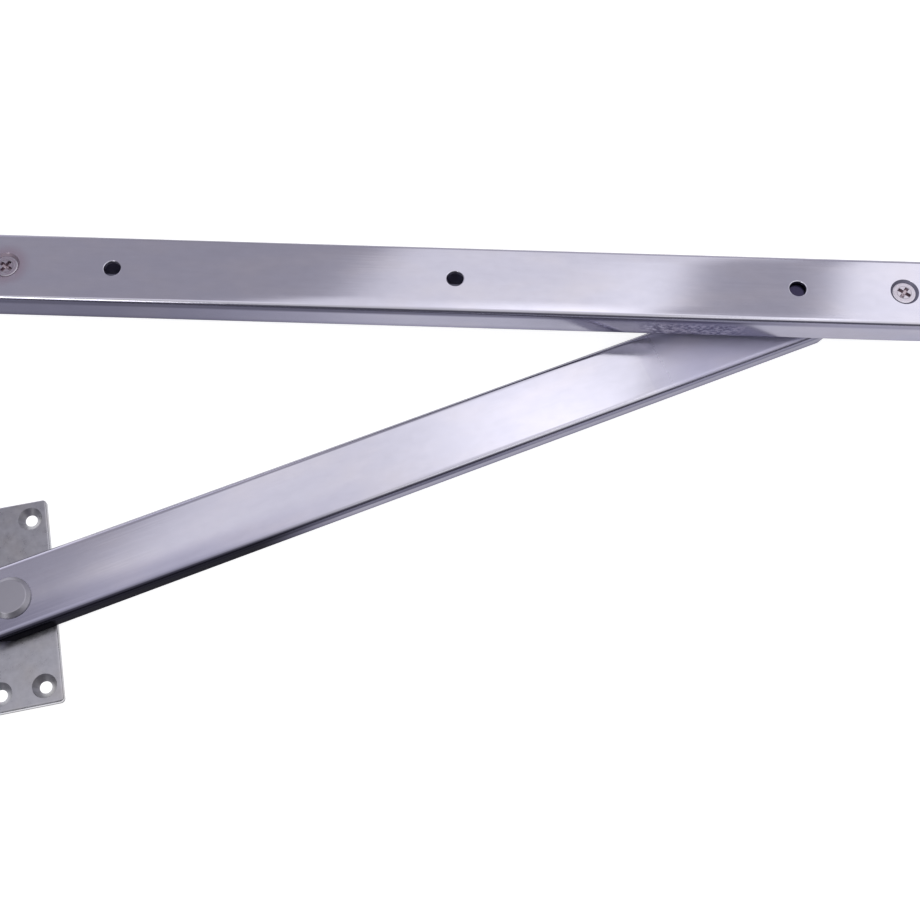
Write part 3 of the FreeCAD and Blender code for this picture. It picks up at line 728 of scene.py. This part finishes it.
def rail_shade(here):
    """Painted shade and reflection: darker sides, a dark line below the bend and deep painted shade inside.

    On the side towards the door it is strongest, more so on the left, and beside the arm that side is
    mottled, as zinc worn by rubbing and as a painted reflection of the arm. The other side has an even,
    milder painted shade of FAR_SIDE_SHADE. The inside has a deep painted shade, but less in the screws'
    countersinks. The lips are clear below, with a matt film of grease.
    """
    along, across, height = parts_of(here)
    near = across.ease(-13.55, -13.9)
    # beside the arm the side is mottled: zinc worn by rubbing, and a painted reflection of the arm
    mottled = here.noise((1.5, 0.7, 0.7), detail=3, rough=0.6).ease(0.38, 0.66)
    by_arm = along.ease(38, 58) * along.ease(120, 106) * (0.30 + 0.70 * height.ease(-4, -6))
    # painted shade and reflection on the side towards the door, darker on the left
    side = 0.31 + 0.06 * along.ease(-150, -90) + 0.33 * along.ease(-112, -8)
    rubbed_and_mirrored = along.ease(70, 80) * (0.46 - 0.75 * mottled) - 0.20
    side = FAR_SIDE_SHADE + near * (side - FAR_SIDE_SHADE - by_arm * rubbed_and_mirrored)
    # painted shade: the dark line where the bend turns down
    dark = 0.20 + 0.14 * along.ease(-60, 60) + 0.16 * along.ease(110, 160)
    dark = FAR_SIDE_SHADE + near * (dark - FAR_SIDE_SHADE)
    turned_down = height.ease(-0.4, -1.2)
    below = height.ease(-2.6, -4.4)
    # painted shade at the foot of the side towards the door
    foot = near * height.ease(-9.5, -13.8) * along.ease(130, 90)
    shade = (1 - (1 - dark) * turned_down + (side - dark) * below) * (1 - 0.35 * foot)
    # the lips' undersides are kept clear; inside the channel and its holes is painted shade
    lips = abs(across).ease(13.6, 13.3) * height.ease(-13.7, -13.95)
    inside = abs(across).ease(13.0, 12.4) * height.ease(-0.12, -0.35) * (1 - lips)
    sinks = abs(along).ease(165, 168) * abs(across).ease(6.5, 6.0)
    inside = inside.maths("MAXIMUM", inside, sinks * height.ease(-0.01, -0.08))
    shade = shade + (1 - shade) * lips
    hollow = 0.2 + 0.4 * abs(across).ease(5.05, 5.3)
    shade = shade + (hollow + (0.5 - hollow) * sinks - shade) * inside
    return shade, 0.12 * shade.ease(0.9, 0.5) + (0.2 + 0.2 * sinks) * inside, 0.4 * lips


def rail_tinge(tree, here, colour):
    """A reddish tinge round the left end screw."""
    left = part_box("left_stop_screw")
    middle = (left[0] + left[1]) / 2 / mm
    away = distance(here, (middle.x, middle.y, 0))
    smudge = away.ease(*REDDISH_REACH) * here.noise((4, 4, 4), detail=3).ease(0.15, 0.5)
    return blend(tree, smudge * 0.9, colour, REDDISH)


rail_zinc = zinc_strip("rail_zinc", (0, 0, 0), 0.0, rail_shade, rail_tinge)
finish_piece(rail, "rail_body", "rail", rail_zinc, edge=RAIL_EDGE)

# %% [markdown]
# ## Arm
#
# The arm is a heavier strip folded into a U, flanges down. It is the same slab as the rail with one
# difference: its ends aren't square. The web's corners are round, and the flanges are cut back on a
# slope so that the plate can turn under it. Tools could cut such ends from a longer strip, as they cut
# its holes, but it is simpler to give each point of the section its own end.

# %% Arm
ARM_SHEET = 2.0 * mm
ARM_BEND = 0.5 * mm
ARM_WIDTH = 27.5 * mm
ARM_END = 14.0 * mm
ARM_CORNER = 6.0 * mm
FLANGE_END = 4.0 * mm
PIVOT_BORE = 8.1 * mm
PIVOT_ROLL = 0.1 * mm
CORNER_POINTS = 10
ARM_EDGE = 0.15 * mm

arm_low, arm_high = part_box("arm")
arm_depth = arm_high.z - arm_low.z
stud_place = Vector(joints["arm_swing"]["pos_m"])
rivet_place = Vector(joints["plate_swivel"]["pos_m"])
arm_line = rivet_place - stud_place
arm_reach = arm_line.length
arm_turn = math.atan2(arm_line.y, arm_line.x)
print("arm of", round(arm_reach / mm, 1), "mm between its pivots")


def stood(points, origin, turn):
    """Points turned about the upright axis, by a matrix of the turn's cosine and sine, and moved."""
    cosine, sine = math.cos(turn), math.sin(turn)
    spin = np.array([[cosine, sine, 0], [-sine, cosine, 0], [0, 0, 1]])
    return points @ spin + np.array(origin)


def arm_ends(section):
    """Where each point of the section starts and stops along the arm.

    Beyond a pivot the web goes to ARM_END, less a quarter circle of ARM_CORNER at its sides. Below the
    web a flange goes to FLANGE_END at its lower edge and a millimetre further for each one up.
    """
    across = abs(section[:, 0])
    below = section[:, 1]
    into = np.clip(across - (ARM_WIDTH / 2 - ARM_CORNER), 0, ARM_CORNER)
    plan = ARM_END - ARM_CORNER + np.sqrt(ARM_CORNER ** 2 - into ** 2)
    sloped = FLANGE_END + arm_depth + below
    flange = (below < -ARM_SHEET - 1e-6) & (across > ARM_WIDTH / 2 - ARM_SHEET - ARM_BEND)
    beyond = np.where(flange, np.minimum(plan, sloped), plan)
    start = np.zeros_like(beyond)
    return np.stack([-beyond, start, start + arm_reach, arm_reach + beyond])


# %% The arm's shape
def make_arm():
    """The folded arm, from the stud to the rivet."""
    line_y = (ARM_WIDTH - ARM_SHEET) / 2
    top = -ARM_SHEET / 2
    bend = ARM_BEND + ARM_SHEET / 2
    half = ARM_WIDTH / 2
    corner_line = np.linspace(half - ARM_SHEET - ARM_BEND, half - ARM_CORNER, CORNER_POINTS)
    web = [(-y, top) for y in corner_line] + [(y, top) for y in corner_line[::-1]]
    line = [(-line_y, -arm_depth), (-line_y, top), *web, (line_y, top), (line_y, -arm_depth)]
    radii = [0, bend, *[0] * len(web), bend, 0]
    points, faces = folded(line, radii, ARM_SHEET, arm_ends)
    origin = (stud_place.x, stud_place.y, arm_high.z)
    piece = skin("folded_arm", stood(points, origin, arm_turn), faces)
    tools = [hole_tool(place.x, place.y, arm_high.z, PIVOT_BORE / 2, PIVOT_ROLL, ARM_SHEET)
             for place in (stud_place, rivet_place)]
    cut(piece, tools)
    return piece


arm = make_arm()


# %% The arm's zinc
def arm_shade(here):
    """Painted shade and reflection, strongest on the side towards the door.

    That side is almost black near the plate, and clears towards the stud, where it keeps a painted dark
    line at the bend. Near the plate the web has painted shade towards that side, and beside the rail it
    is greasy, which blurs what it mirrors. The thinnest of the grease has no film of its own, because a
    trace of it renders as specks.
    """
    along, across, height = parts_of(here)
    near = across.ease(11.9, 12.4)
    turned_down = height.ease(-0.35, -0.98)
    below = height.ease(-2.4, -3.4)
    foot = height.ease(-4.6, -6.9)
    # painted shade on the side towards the door: a dark line at the bend, then a darker side and foot
    line = 0.22 + 0.16 * along.ease(150, 110)
    side = 0.03 + along.ease(236, 190) * (line + (0.68 - line) * below) * (1 - 0.36 * foot)
    side = FAR_SIDE_SHADE + near * (side - FAR_SIDE_SHADE)
    # painted shade on the web towards the door's side, near the plate
    painted_dim = 0.28 * across.ease(2, 9) + 0.22 * across.ease(10, 12.5)
    web = 1 - along.ease(175, 275) * painted_dim
    greasy = along.ease(76, 46) * (1 - turned_down)
    film = 0.35 * greasy * greasy.maths("GREATER_THAN", greasy, 0.15)
    return web - turned_down * (web - side), 0.12 * turned_down + 0.30 * greasy, film


arm_zinc = zinc_strip("arm_zinc", (stud_place.x, stud_place.y, arm_high.z), arm_turn, arm_shade)
finish_piece(arm, "arm_body", "arm", arm_zinc, edge=ARM_EDGE)

# %% [markdown]
# ## Fixing plate
#
# The plate is blanked from flat bar, so its upper rim is rolled over a little and its corners are
# nearly square. A box with a Bevel modifier would round both rims alike, unless its edges were weighted
# one by one. So its rim is a rounded rectangle carried through a short profile: up the side, round the
# edge and on to the face. The two faces close it, and the countersinks are spun tools again.

# %% Fixing plate
PLATE_LENGTH = 80.0 * mm
PLATE_WIDTH = 29.0 * mm
PLATE_CORNER = 1.6 * mm
PLATE_ROLL = 0.8 * mm
PLATE_SINK = 9.0 * mm
TAIL_WIDTH = 6.0 * mm
FLARE_DEPTH = 1.2 * mm
TAIL_GAP = 0.05 * mm
PLATE_FOOT = 0.2 * mm
PLATE_EDGE = 0.1 * mm
PROFILE_STEPS = 6

plate_low, plate_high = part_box("frame_plate")
plate_thick = plate_high.z - plate_low.z
column = Vector(mounts["plate_right_holes"]["pos_m"]) - Vector(mounts["plate_left_holes"]["pos_m"])
plate_turn = math.atan2(column.y, column.x)
row_reach = mounts["plate_left_holes"]["dims"]["pcd_mm"] * mm / 2
screw_radius = mounts["plate_left_holes"]["dims"]["hole_r_mm"] * mm
print("plate turned by", round(math.degrees(plate_turn), 1), "degrees")


def tail_tool(origin):
    """The rivet's hole in the plate, flared at the back."""
    radius = TAIL_WIDTH / 2 + TAIL_GAP
    back = plate_low.z
    profile = np.array([
        (0, back - CUT_OVER), (radius + FLARE_DEPTH + CUT_OVER, back - CUT_OVER),
        (radius, back + FLARE_DEPTH), (radius, origin[2] + CUT_OVER), (0, origin[2] + CUT_OVER)])
    return spun("tail_tool", profile, (*origin[:2], 0))


def make_plate():
    """The plate: its outline, moved in by the profile's inset at each of the profile's heights."""
    x, y = PLATE_WIDTH / 2, PLATE_LENGTH / 2
    rim, normal = rounded([(-x, -y), (x, -y), (x, y), (-x, y)], [PLATE_CORNER] * 4, closed=True)
    profile = rounded(
        [(PLATE_ROLL, -plate_thick), (0, -plate_thick), (0, 0), (PLATE_ROLL * 1.5, 0)],
        [0, PLATE_FOOT, PLATE_ROLL, 0], steps=PROFILE_STEPS)[0]
    points = np.zeros((len(profile), len(rim), 3))
    points[..., :2] = rim + normal * profile[:, None, :1]
    points[..., 2] = profile[:, None, 1]
    faces = grid_faces(len(profile), len(rim), wrap_columns=True)
    first = list(range(len(rim)))
    faces += [first[::-1], [corner + (len(profile) - 1) * len(rim) for corner in first]]
    origin = (rivet_place.x, rivet_place.y, plate_high.z)
    piece = skin("blanked_plate", stood(points, origin, plate_turn), faces)
    tools = []
    for right in (-1, 1):
        for up in (-1, 1):
            spot = stood(np.array([right * column.length / 2, up * row_reach, 0]), origin, plate_turn)
            tools.append(sink_tool(*spot, screw_radius, PLATE_SINK / 2, plate_thick))
    tools.append(tail_tool(origin))
    cut(piece, tools)
    return piece


# %% The plate's zinc
PLATE_COOL = (0.60, 0.60, 0.645, 1.0)
PLATE_WARM = (0.60, 0.585, 0.60, 1.0)


def plate_finish():
    """Zinc on blanked bar: mottled in patches of a few millimetres, with a satin shine.

    The edge towards the door is shinier at its top, with a painted highlight there, and has painted
    shade at its foot.
    """
    material, tree, _ = new_material("plate_zinc")
    shader = metal(tree, 0.3)
    here = local_mm(tree, (rivet_place.x, rivet_place.y, plate_high.z), plate_turn)
    patches = here.noise((3.2, 3.2, 3.2), detail=4, rough=0.62)
    clouds = here.noise((14, 14, 14))
    tint = blend(tree, clouds.ease(0.35, 0.7), PLATE_COOL, PLATE_WARM)
    _, across, height = parts_of(here)
    # painted highlight along the top of the edge towards the door, and painted shade at its foot
    rim = across.ease(-39.0, -39.5) * height.ease(-0.15, -0.5)
    tone = 0.51 + 0.36 * patches + rim * (0.30 - 0.80 * height.ease(-1.0, -1.6))
    rough = (0.2 + 0.2 * patches) * (1 - 0.6 * rim)
    feed(shader, Base_Color=blend(tree, 1.0, tint, tone, "MULTIPLY"), Roughness=rough)
    grained(tree, shader, patches, 0.25)
    return material


plate = make_plate()
finish_piece(plate, "plate_body", "frame_plate", plate_finish(), edge=PLATE_EDGE)

# %% [markdown]
# ## Turned fixings
#
# The rivet, the stud, the steel washer and the spacer sleeve are round about an upright axis, so each
# is a profile spun round it. Blender's Screw modifier spins a profile too, but here the same array
# sums can also flatten some rows. Lathe lines are rings, and they come from noise on the distance to
# the axis.

# %% Turned fixings
FIXING = (0.60, 0.585, 0.64, 1.0)


def flat_radius(vector):
    """How far a vector wire is from the upright axis."""
    tree = vector.socket.id_data
    flat = Wire.node(tree, "VectorMath", {"operation": "MULTIPLY"}, {0: vector, 1: (1, 1, 0)})
    return distance(flat, (0, 0, 0))


def turned_finish(name, centre, rough=0.2, tinge=None):
    """Bright zinc on a turned part: fine rings about the axis and a faint patchiness.

    The tinge function, if any, colours it further.
    """
    material, tree, _ = new_material(name)
    shader = metal(tree, rough)
    here = local_mm(tree, centre, 0.0)
    _, _, height = parts_of(here)
    radius = flat_radius(here)
    line = Wire.node(tree, "CombineXYZ", inputs={0: radius, 2: height})
    rings = line.noise((0.35, 1, 0.35), detail=2)
    patches = here.noise((2.5, 2.5, 2.5), detail=3)
    tone = 0.84 + 0.14 * rings + 0.14 * patches
    colour = blend(tree, 1.0, FIXING, tone, "MULTIPLY")
    if tinge:
        colour = tinge(tree, here, colour)
    feed(shader, Base_Color=colour, Roughness=rough - 0.05 + 0.12 * rings)
    grained(tree, shader, rings, 0.08)
    return material


def spun_piece(name, node, body, corners, radii, material, ring=False, flats=None):
    """Replaces a CAD node by a spun profile about the middle of that node's box."""
    low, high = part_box(node)
    profile = rounded(corners, radii, closed=ring, steps=PROFILE_STEPS)[0]
    held = None if flats is None else np.repeat(flats, PROFILE_STEPS + 1)
    centre = ((low.x + high.x) / 2, (low.y + high.y) / 2, 0)
    piece = spun(name, profile, centre, ring=ring, flats=held)
    finish_piece(piece, body, node, material, sharp=40)


def ring_corners(node, bore):
    """The four corners of a washer's or sleeve's section."""
    low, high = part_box(node)
    outer = (high.x - low.x) / 2
    return [(bore, low.z), (outer, low.z), (outer, high.z), (bore, high.z)]


# %% Rivet
RIVET_FLAT = 12.6 * mm
RIVET_RIM = 0.4 * mm
SHOULDER = 8.0 * mm
PIVOT_PLAY = 0.1 * mm
DULL_ZINC = (0.32, 0.315, 0.35, 1.0)


def dull_head(tree, here, colour):
    """The rivet's zinc is duller than the strip's."""
    return blend(tree, 0.75, colour, DULL_ZINC)


def make_rivet():
    """The plate's rivet: a low head with a sloped rim, a shoulder and a tail flared in the plate."""
    low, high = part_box("plate_rivet")
    base = arm_high.z + PIVOT_PLAY
    wide = (high.x - low.x) / 2
    tail = TAIL_WIDTH / 2
    corners = [
        (0, high.z), (RIVET_FLAT / 2, high.z), (wide, base + RIVET_RIM), (wide, base),
        (SHOULDER / 2, base), (SHOULDER / 2, plate_high.z), (tail, plate_high.z),
        (tail, low.z + FLARE_DEPTH), (tail + FLARE_DEPTH, low.z), (0, low.z)]
    radii = [0, 0.5 * mm, 0.35 * mm, 0.05 * mm, 0, 0, 0, 0, 0.05 * mm, 0]
    centre = (rivet_place.x, rivet_place.y, 0)
    finish = turned_finish("rivet_zinc", centre, rough=0.34, tinge=dull_head)
    spun_piece("shouldered_rivet", "plate_rivet", "plate_body", corners, radii, finish)


make_rivet()

# %% [markdown]
# ## Stud and rings
#
# The stud's head has two flats, so that the shoe keeps it from turning. Two boxes could cut them off.
# Holding y within the flats on the head's rows planes them with no cutting at all, and the rows below
# stay round.

# %% Stud and rings
STUD_FLATS = 12.0 * mm
NECK = 9.0 * mm
STUD_THICK = 3.0 * mm
PEEN_WIDTH = 10.0 * mm
PEEN_ROUND = 1.1 * mm
RING_GAP = 0.05 * mm
HEAD_CORNERS = 4
# colour of the painted shade on the stud's head
HEAD_SHADE_COLOUR = (0.05, 0.043, 0.09, 1.0)


def head_painted_shade(tree, here, colour):
    """Painted shade on the stud's head, which the shoe hides but for what the rail's holes show."""
    _, _, height = parts_of(here)
    return blend(tree, height.ease(-8.0, -6.5) * 0.98, colour, HEAD_SHADE_COLOUR)


def make_stud():
    """The stud: a flatted head, a neck through the slot, the arm's shoulder and a peened tail."""
    low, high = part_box("slider_stud")
    wide = (high.x - low.x) / 2
    washer_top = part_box("slider_washer")[1].z
    tail_low, tail_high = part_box("stud_washer")
    under = high.z - STUD_THICK
    corners = [
        (0, high.z), (wide, high.z), (wide, under), (NECK / 2, under), (NECK / 2, washer_top),
        (SHOULDER / 2, washer_top), (SHOULDER / 2, tail_high.z), (TAIL_WIDTH / 2, tail_high.z),
        (TAIL_WIDTH / 2, tail_low.z), (PEEN_WIDTH / 2, tail_low.z), (PEEN_WIDTH / 2, low.z),
        (0, low.z)]
    radii = [0, 0.3 * mm, 0.1 * mm, 0, 0, 0, 0, 0, 0, 0, PEEN_ROUND, 0]
    flats = np.array([STUD_FLATS / 2] * HEAD_CORNERS + [wide] * (len(corners) - HEAD_CORNERS))
    finish = turned_finish("stud_zinc", (stud_place.x, stud_place.y, 0), tinge=head_painted_shade)
    spun_piece("flatted_stud", "slider_stud", "slider_body", corners, radii, finish,
               flats=flats)


def make_rings():
    """The stud's steel washer and the rivet's spacer sleeve."""
    washer_finish = turned_finish("washer_zinc", (stud_place.x, stud_place.y, 0), rough=0.28)
    sleeve_finish = turned_finish("sleeve_zinc", (rivet_place.x, rivet_place.y, 0), rough=0.25)
    soft = [0.05 * mm, 0.3 * mm, 0.3 * mm, 0.05 * mm]
    washer = ring_corners("stud_washer", TAIL_WIDTH / 2 + RING_GAP)
    sleeve = ring_corners("plate_bush", SHOULDER / 2 + RING_GAP)
    spun_piece("tail_washer", "stud_washer", "slider_body", washer, soft, washer_finish,
               ring=True)
    spun_piece("spacer_sleeve", "plate_bush", "plate_body", sleeve, soft, sleeve_finish,
               ring=True)


make_stud()
make_rings()

# %% [markdown]
# ## End screws
#
# Each end of the rail has a countersunk machine screw. Its head's top is a height field on a polar
# grid: two crossed slots, each deepest at the middle and rising to the face at its tips, with steep
# walls. The same grid goes on down the cone, the straight rim and the thread, whose radius is a
# triangle wave of height and a share of a turn, and that share is what makes it a helix. A cross could
# be cut out with boxes instead, but its soft edges would then need bevels of their own.

# %% End screws
RECESS_SPAN = 5.2 * mm
RECESS_SLOT = 1.3 * mm
RECESS_DEPTH = 1.9 * mm
WALL = 0.14 * mm
RECESS_TURN = math.radians(57)
SCREW_RIM = 0.3 * mm
THREAD = 5.0 * mm
THREAD_PITCH = 0.8 * mm
THREAD_DEPTH = 0.45 * mm
SCREW_TIP = 0.6 * mm
THREAD_START = 0.3 * mm
THREAD_ROWS = 8
TURN_STEPS = 144
RECESS_RINGS = 44
FACE_RINGS = np.linspace(0.6, 0.97, 6)
FACE_FALL = 0.06 * mm
RIM_FALL = 0.12 * mm


def recess_depth(x, y):
    """Depth of the cross recess at x, y: for each slot, steep walls at its sides and its two ends.

    A slot of width w and length l is RECESS_DEPTH where |across| < w / 2 and |along| < l / 2, with its
    walls spread over WALL, and its floor rises towards the tips by a third.
    """
    across = np.stack([abs(y), abs(x)])
    along = np.stack([abs(x), abs(y)])
    sides = np.clip((RECESS_SLOT / 2 - across) / WALL + 0.5, 0, 1)
    ends = np.clip((RECESS_SPAN / 2 - along) / (2.5 * WALL), 0, 1)
    floor = 1 - 0.33 * along / (RECESS_SPAN / 2)
    return RECESS_DEPTH * (sides * ends * floor).max(0)


def make_screw(side):
    """An end screw: a polar grid over the head, then down the cone and the thread to the tip."""
    low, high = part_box(f"{side}_stop_screw")
    wide = (high.x - low.x) / 2
    shank = THREAD / 2
    under = high.z - SCREW_RIM - (wide - shank)
    turns = np.linspace(0, 2 * np.pi, TURN_STEPS, endpoint=False)[None, :]
    inner = np.linspace(0, RECESS_SPAN / 2 * 1.1, RECESS_RINGS)
    face = np.concatenate([inner, FACE_RINGS * wide])[:, None]
    x = face * np.cos(turns)
    y = face * np.sin(turns)
    face_z = high.z - recess_depth(x, y) - FACE_FALL * np.clip(face / wide - 0.9, 0, 1) * 10
    rim = np.array([(wide, high.z - RIM_FALL), (wide, high.z - SCREW_RIM), (shank, under)])
    rows = np.arange(under - THREAD_START, low.z + SCREW_TIP, -THREAD_PITCH / THREAD_ROWS)
    height = rows[:, None]
    wave = abs(((height / THREAD_PITCH + turns / (2 * np.pi)) % 1) * 2 - 1)
    thread = shank - THREAD_DEPTH * wave
    end = np.array([(shank - SCREW_TIP, low.z), (0, low.z)])
    ones = np.ones_like(turns)
    radius = np.vstack([face * ones, rim[:, :1] * ones, thread, end[:, :1] * ones])
    level = np.vstack([face_z, rim[:, 1:] * ones, height * ones, end[:, 1:] * ones])
    angle = turns + RECESS_TURN
    middle = (low.x + high.x) / 2
    points = np.stack([middle + radius * np.cos(angle), radius * np.sin(angle), level], -1)
    piece = skin(f"{side}_cross_screw", points, grid_faces(*radius.shape, wrap_columns=True))
    tinge = screw_tinge(side)
    finish = turned_finish(f"{side}_screw_zinc", (middle, 0, high.z), rough=0.27, tinge=tinge)
    finish_piece(piece, "rail_body", f"{side}_stop_screw", finish, sharp=50)


# %% The end screws' zinc
MAUVE = {"left": (0.46, 0.39, 0.45, 1.0), "right": (0.38, 0.30, 0.35, 1.0)}
MAUVE_SHARE = {"left": 0.95, "right": 0.4}
DARK_BROWN = (0.22, 0.17, 0.20, 1.0)
PALE_BROWN = (0.52, 0.43, 0.46, 1.0)


def screw_tinge(side):
    """A tinge for a screw: mauve on its head, far stronger on the left, and brown in the recess."""

    def tinge(tree, here, colour):
        _, _, height = parts_of(here)
        reach = flat_radius(here)
        patches = here.noise((1.4, 1.4, 1.4), detail=3).ease(0.2, 0.6)
        film = reach.ease(5.2, 3.6) * patches * MAUVE_SHARE[side]
        colour = blend(tree, film, colour, MAUVE[side])
        deep = height.ease(-0.1, -0.9) * reach.ease(3.2, 2.7)
        brown = blend(tree, patches * 0.7, DARK_BROWN, PALE_BROWN)
        return blend(tree, deep * 0.85, colour, brown)

    return tinge


for side in ("left", "right"):
    make_screw(side)

# %% [markdown]
# ## Moulded and rubber parts
#
# Inside the rail, and only seen from its ends and through its holes and slot, are the black nylon stop
# blocks with their rubber buffers and the black nylon shoe. Two washers at the pivots are white acetal.
# The blocks, nuts, shoe and these washers are already right as CAD solids. They could be made anew, but
# that would show nothing more, so they keep their shape and get a finish. Moulded plastic isn't flat
# in colour: it has a fine spark-eroded grain and its gloss varies. The buffers are spun again, about X.

# %% Moulded and rubber parts
BUFFER_THICK = 4.0 * mm
STEM_WIDTH = 5.0 * mm
PAD_DOME = 1.2 * mm
PAD_ARC_STEPS = 8
PAD_STEPS = 64


def moulding(name, colour, rough, grain, speck):
    """Moulded plastic or rubber: a fine grain in its height, gloss and, slightly, its colour."""
    material, tree, _ = new_material(name)
    shader = metal(tree, rough)
    shader.inputs["Metallic"].default_value = 0.0
    here = local_mm(tree, (0, 0, 0), 0.0)
    fine = here.noise((grain, grain, grain), detail=3)
    broad = here.noise((6, 6, 6), detail=2)
    tone = 1 - speck + speck * 1.2 * fine + 0.08 * broad
    base = blend(tree, 1.0, colour, tone, "MULTIPLY")
    feed(shader, Base_Color=base, Roughness=rough - 0.08 + 0.16 * fine)
    grained(tree, shader, fine, 0.3)
    return material


def make_buffer(side, material):
    """A rubber buffer: a domed pad and its stem, spun about X: (x_i, r_i cos a_j, r_i sin a_j)."""
    low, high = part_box(f"{side}_buffer")
    facing = 1 if side == "left" else -1
    wide = (high.z - low.z) / 2
    length = high.x - low.x
    stem = STEM_WIDTH / 2
    corners = [
        (0, 0), (wide, 0), (wide, BUFFER_THICK), (stem, BUFFER_THICK), (stem, length), (0, length)]
    radii = [0, PAD_DOME, 0.3 * mm, 0, 0.2 * mm, 0]
    profile = rounded(corners, radii, steps=PAD_ARC_STEPS)[0]
    angle = np.linspace(0, 2 * np.pi, PAD_STEPS, endpoint=False)[None, :]
    front = high.x if facing > 0 else low.x
    x = front - facing * profile[:, 1:] + 0 * angle
    y = profile[:, :1] * np.cos(angle)
    z = profile[:, :1] * np.sin(angle) + (high.z + low.z) / 2
    piece = skin(f"{side}_stop_pad", np.stack([x, y, z], -1), grid_faces(*x.shape, wrap_columns=True))
    finish_piece(piece, "rail_body", f"{side}_buffer", material, sharp=40)


rubber = moulding("black_rubber", (0.035, 0.035, 0.037, 1.0), rough=0.6, grain=0.25, speck=0.3)
nylon = moulding("black_nylon", (0.045, 0.045, 0.048, 1.0), rough=0.42, grain=0.35, speck=0.2)
acetal = moulding("white_acetal", (0.80, 0.79, 0.75, 1.0), rough=0.36, grain=0.4, speck=0.06)
for side in ("left", "right"):
    make_buffer(side, rubber)

# %% Finishes of the CAD nodes
def wear(node, material):
    """Puts one material on a CAD node that keeps its own shape."""
    mesh = nodes[node].data
    mesh.materials.clear()
    mesh.materials.append(material)
    print(node, "wears", material.name)


for side in ("left", "right"):
    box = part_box(f"{side}_stop_nut")
    place = (box[0] + box[1]) / 2
    wear(f"{side}_stop_nut", turned_finish(f"{side}_nut_zinc", place, rough=0.28))
    wear(f"{side}_stop_block", nylon)
wear("slider_shoe", nylon)
for node in ("slider_washer", "plate_washer"):
    wear(node, acetal)
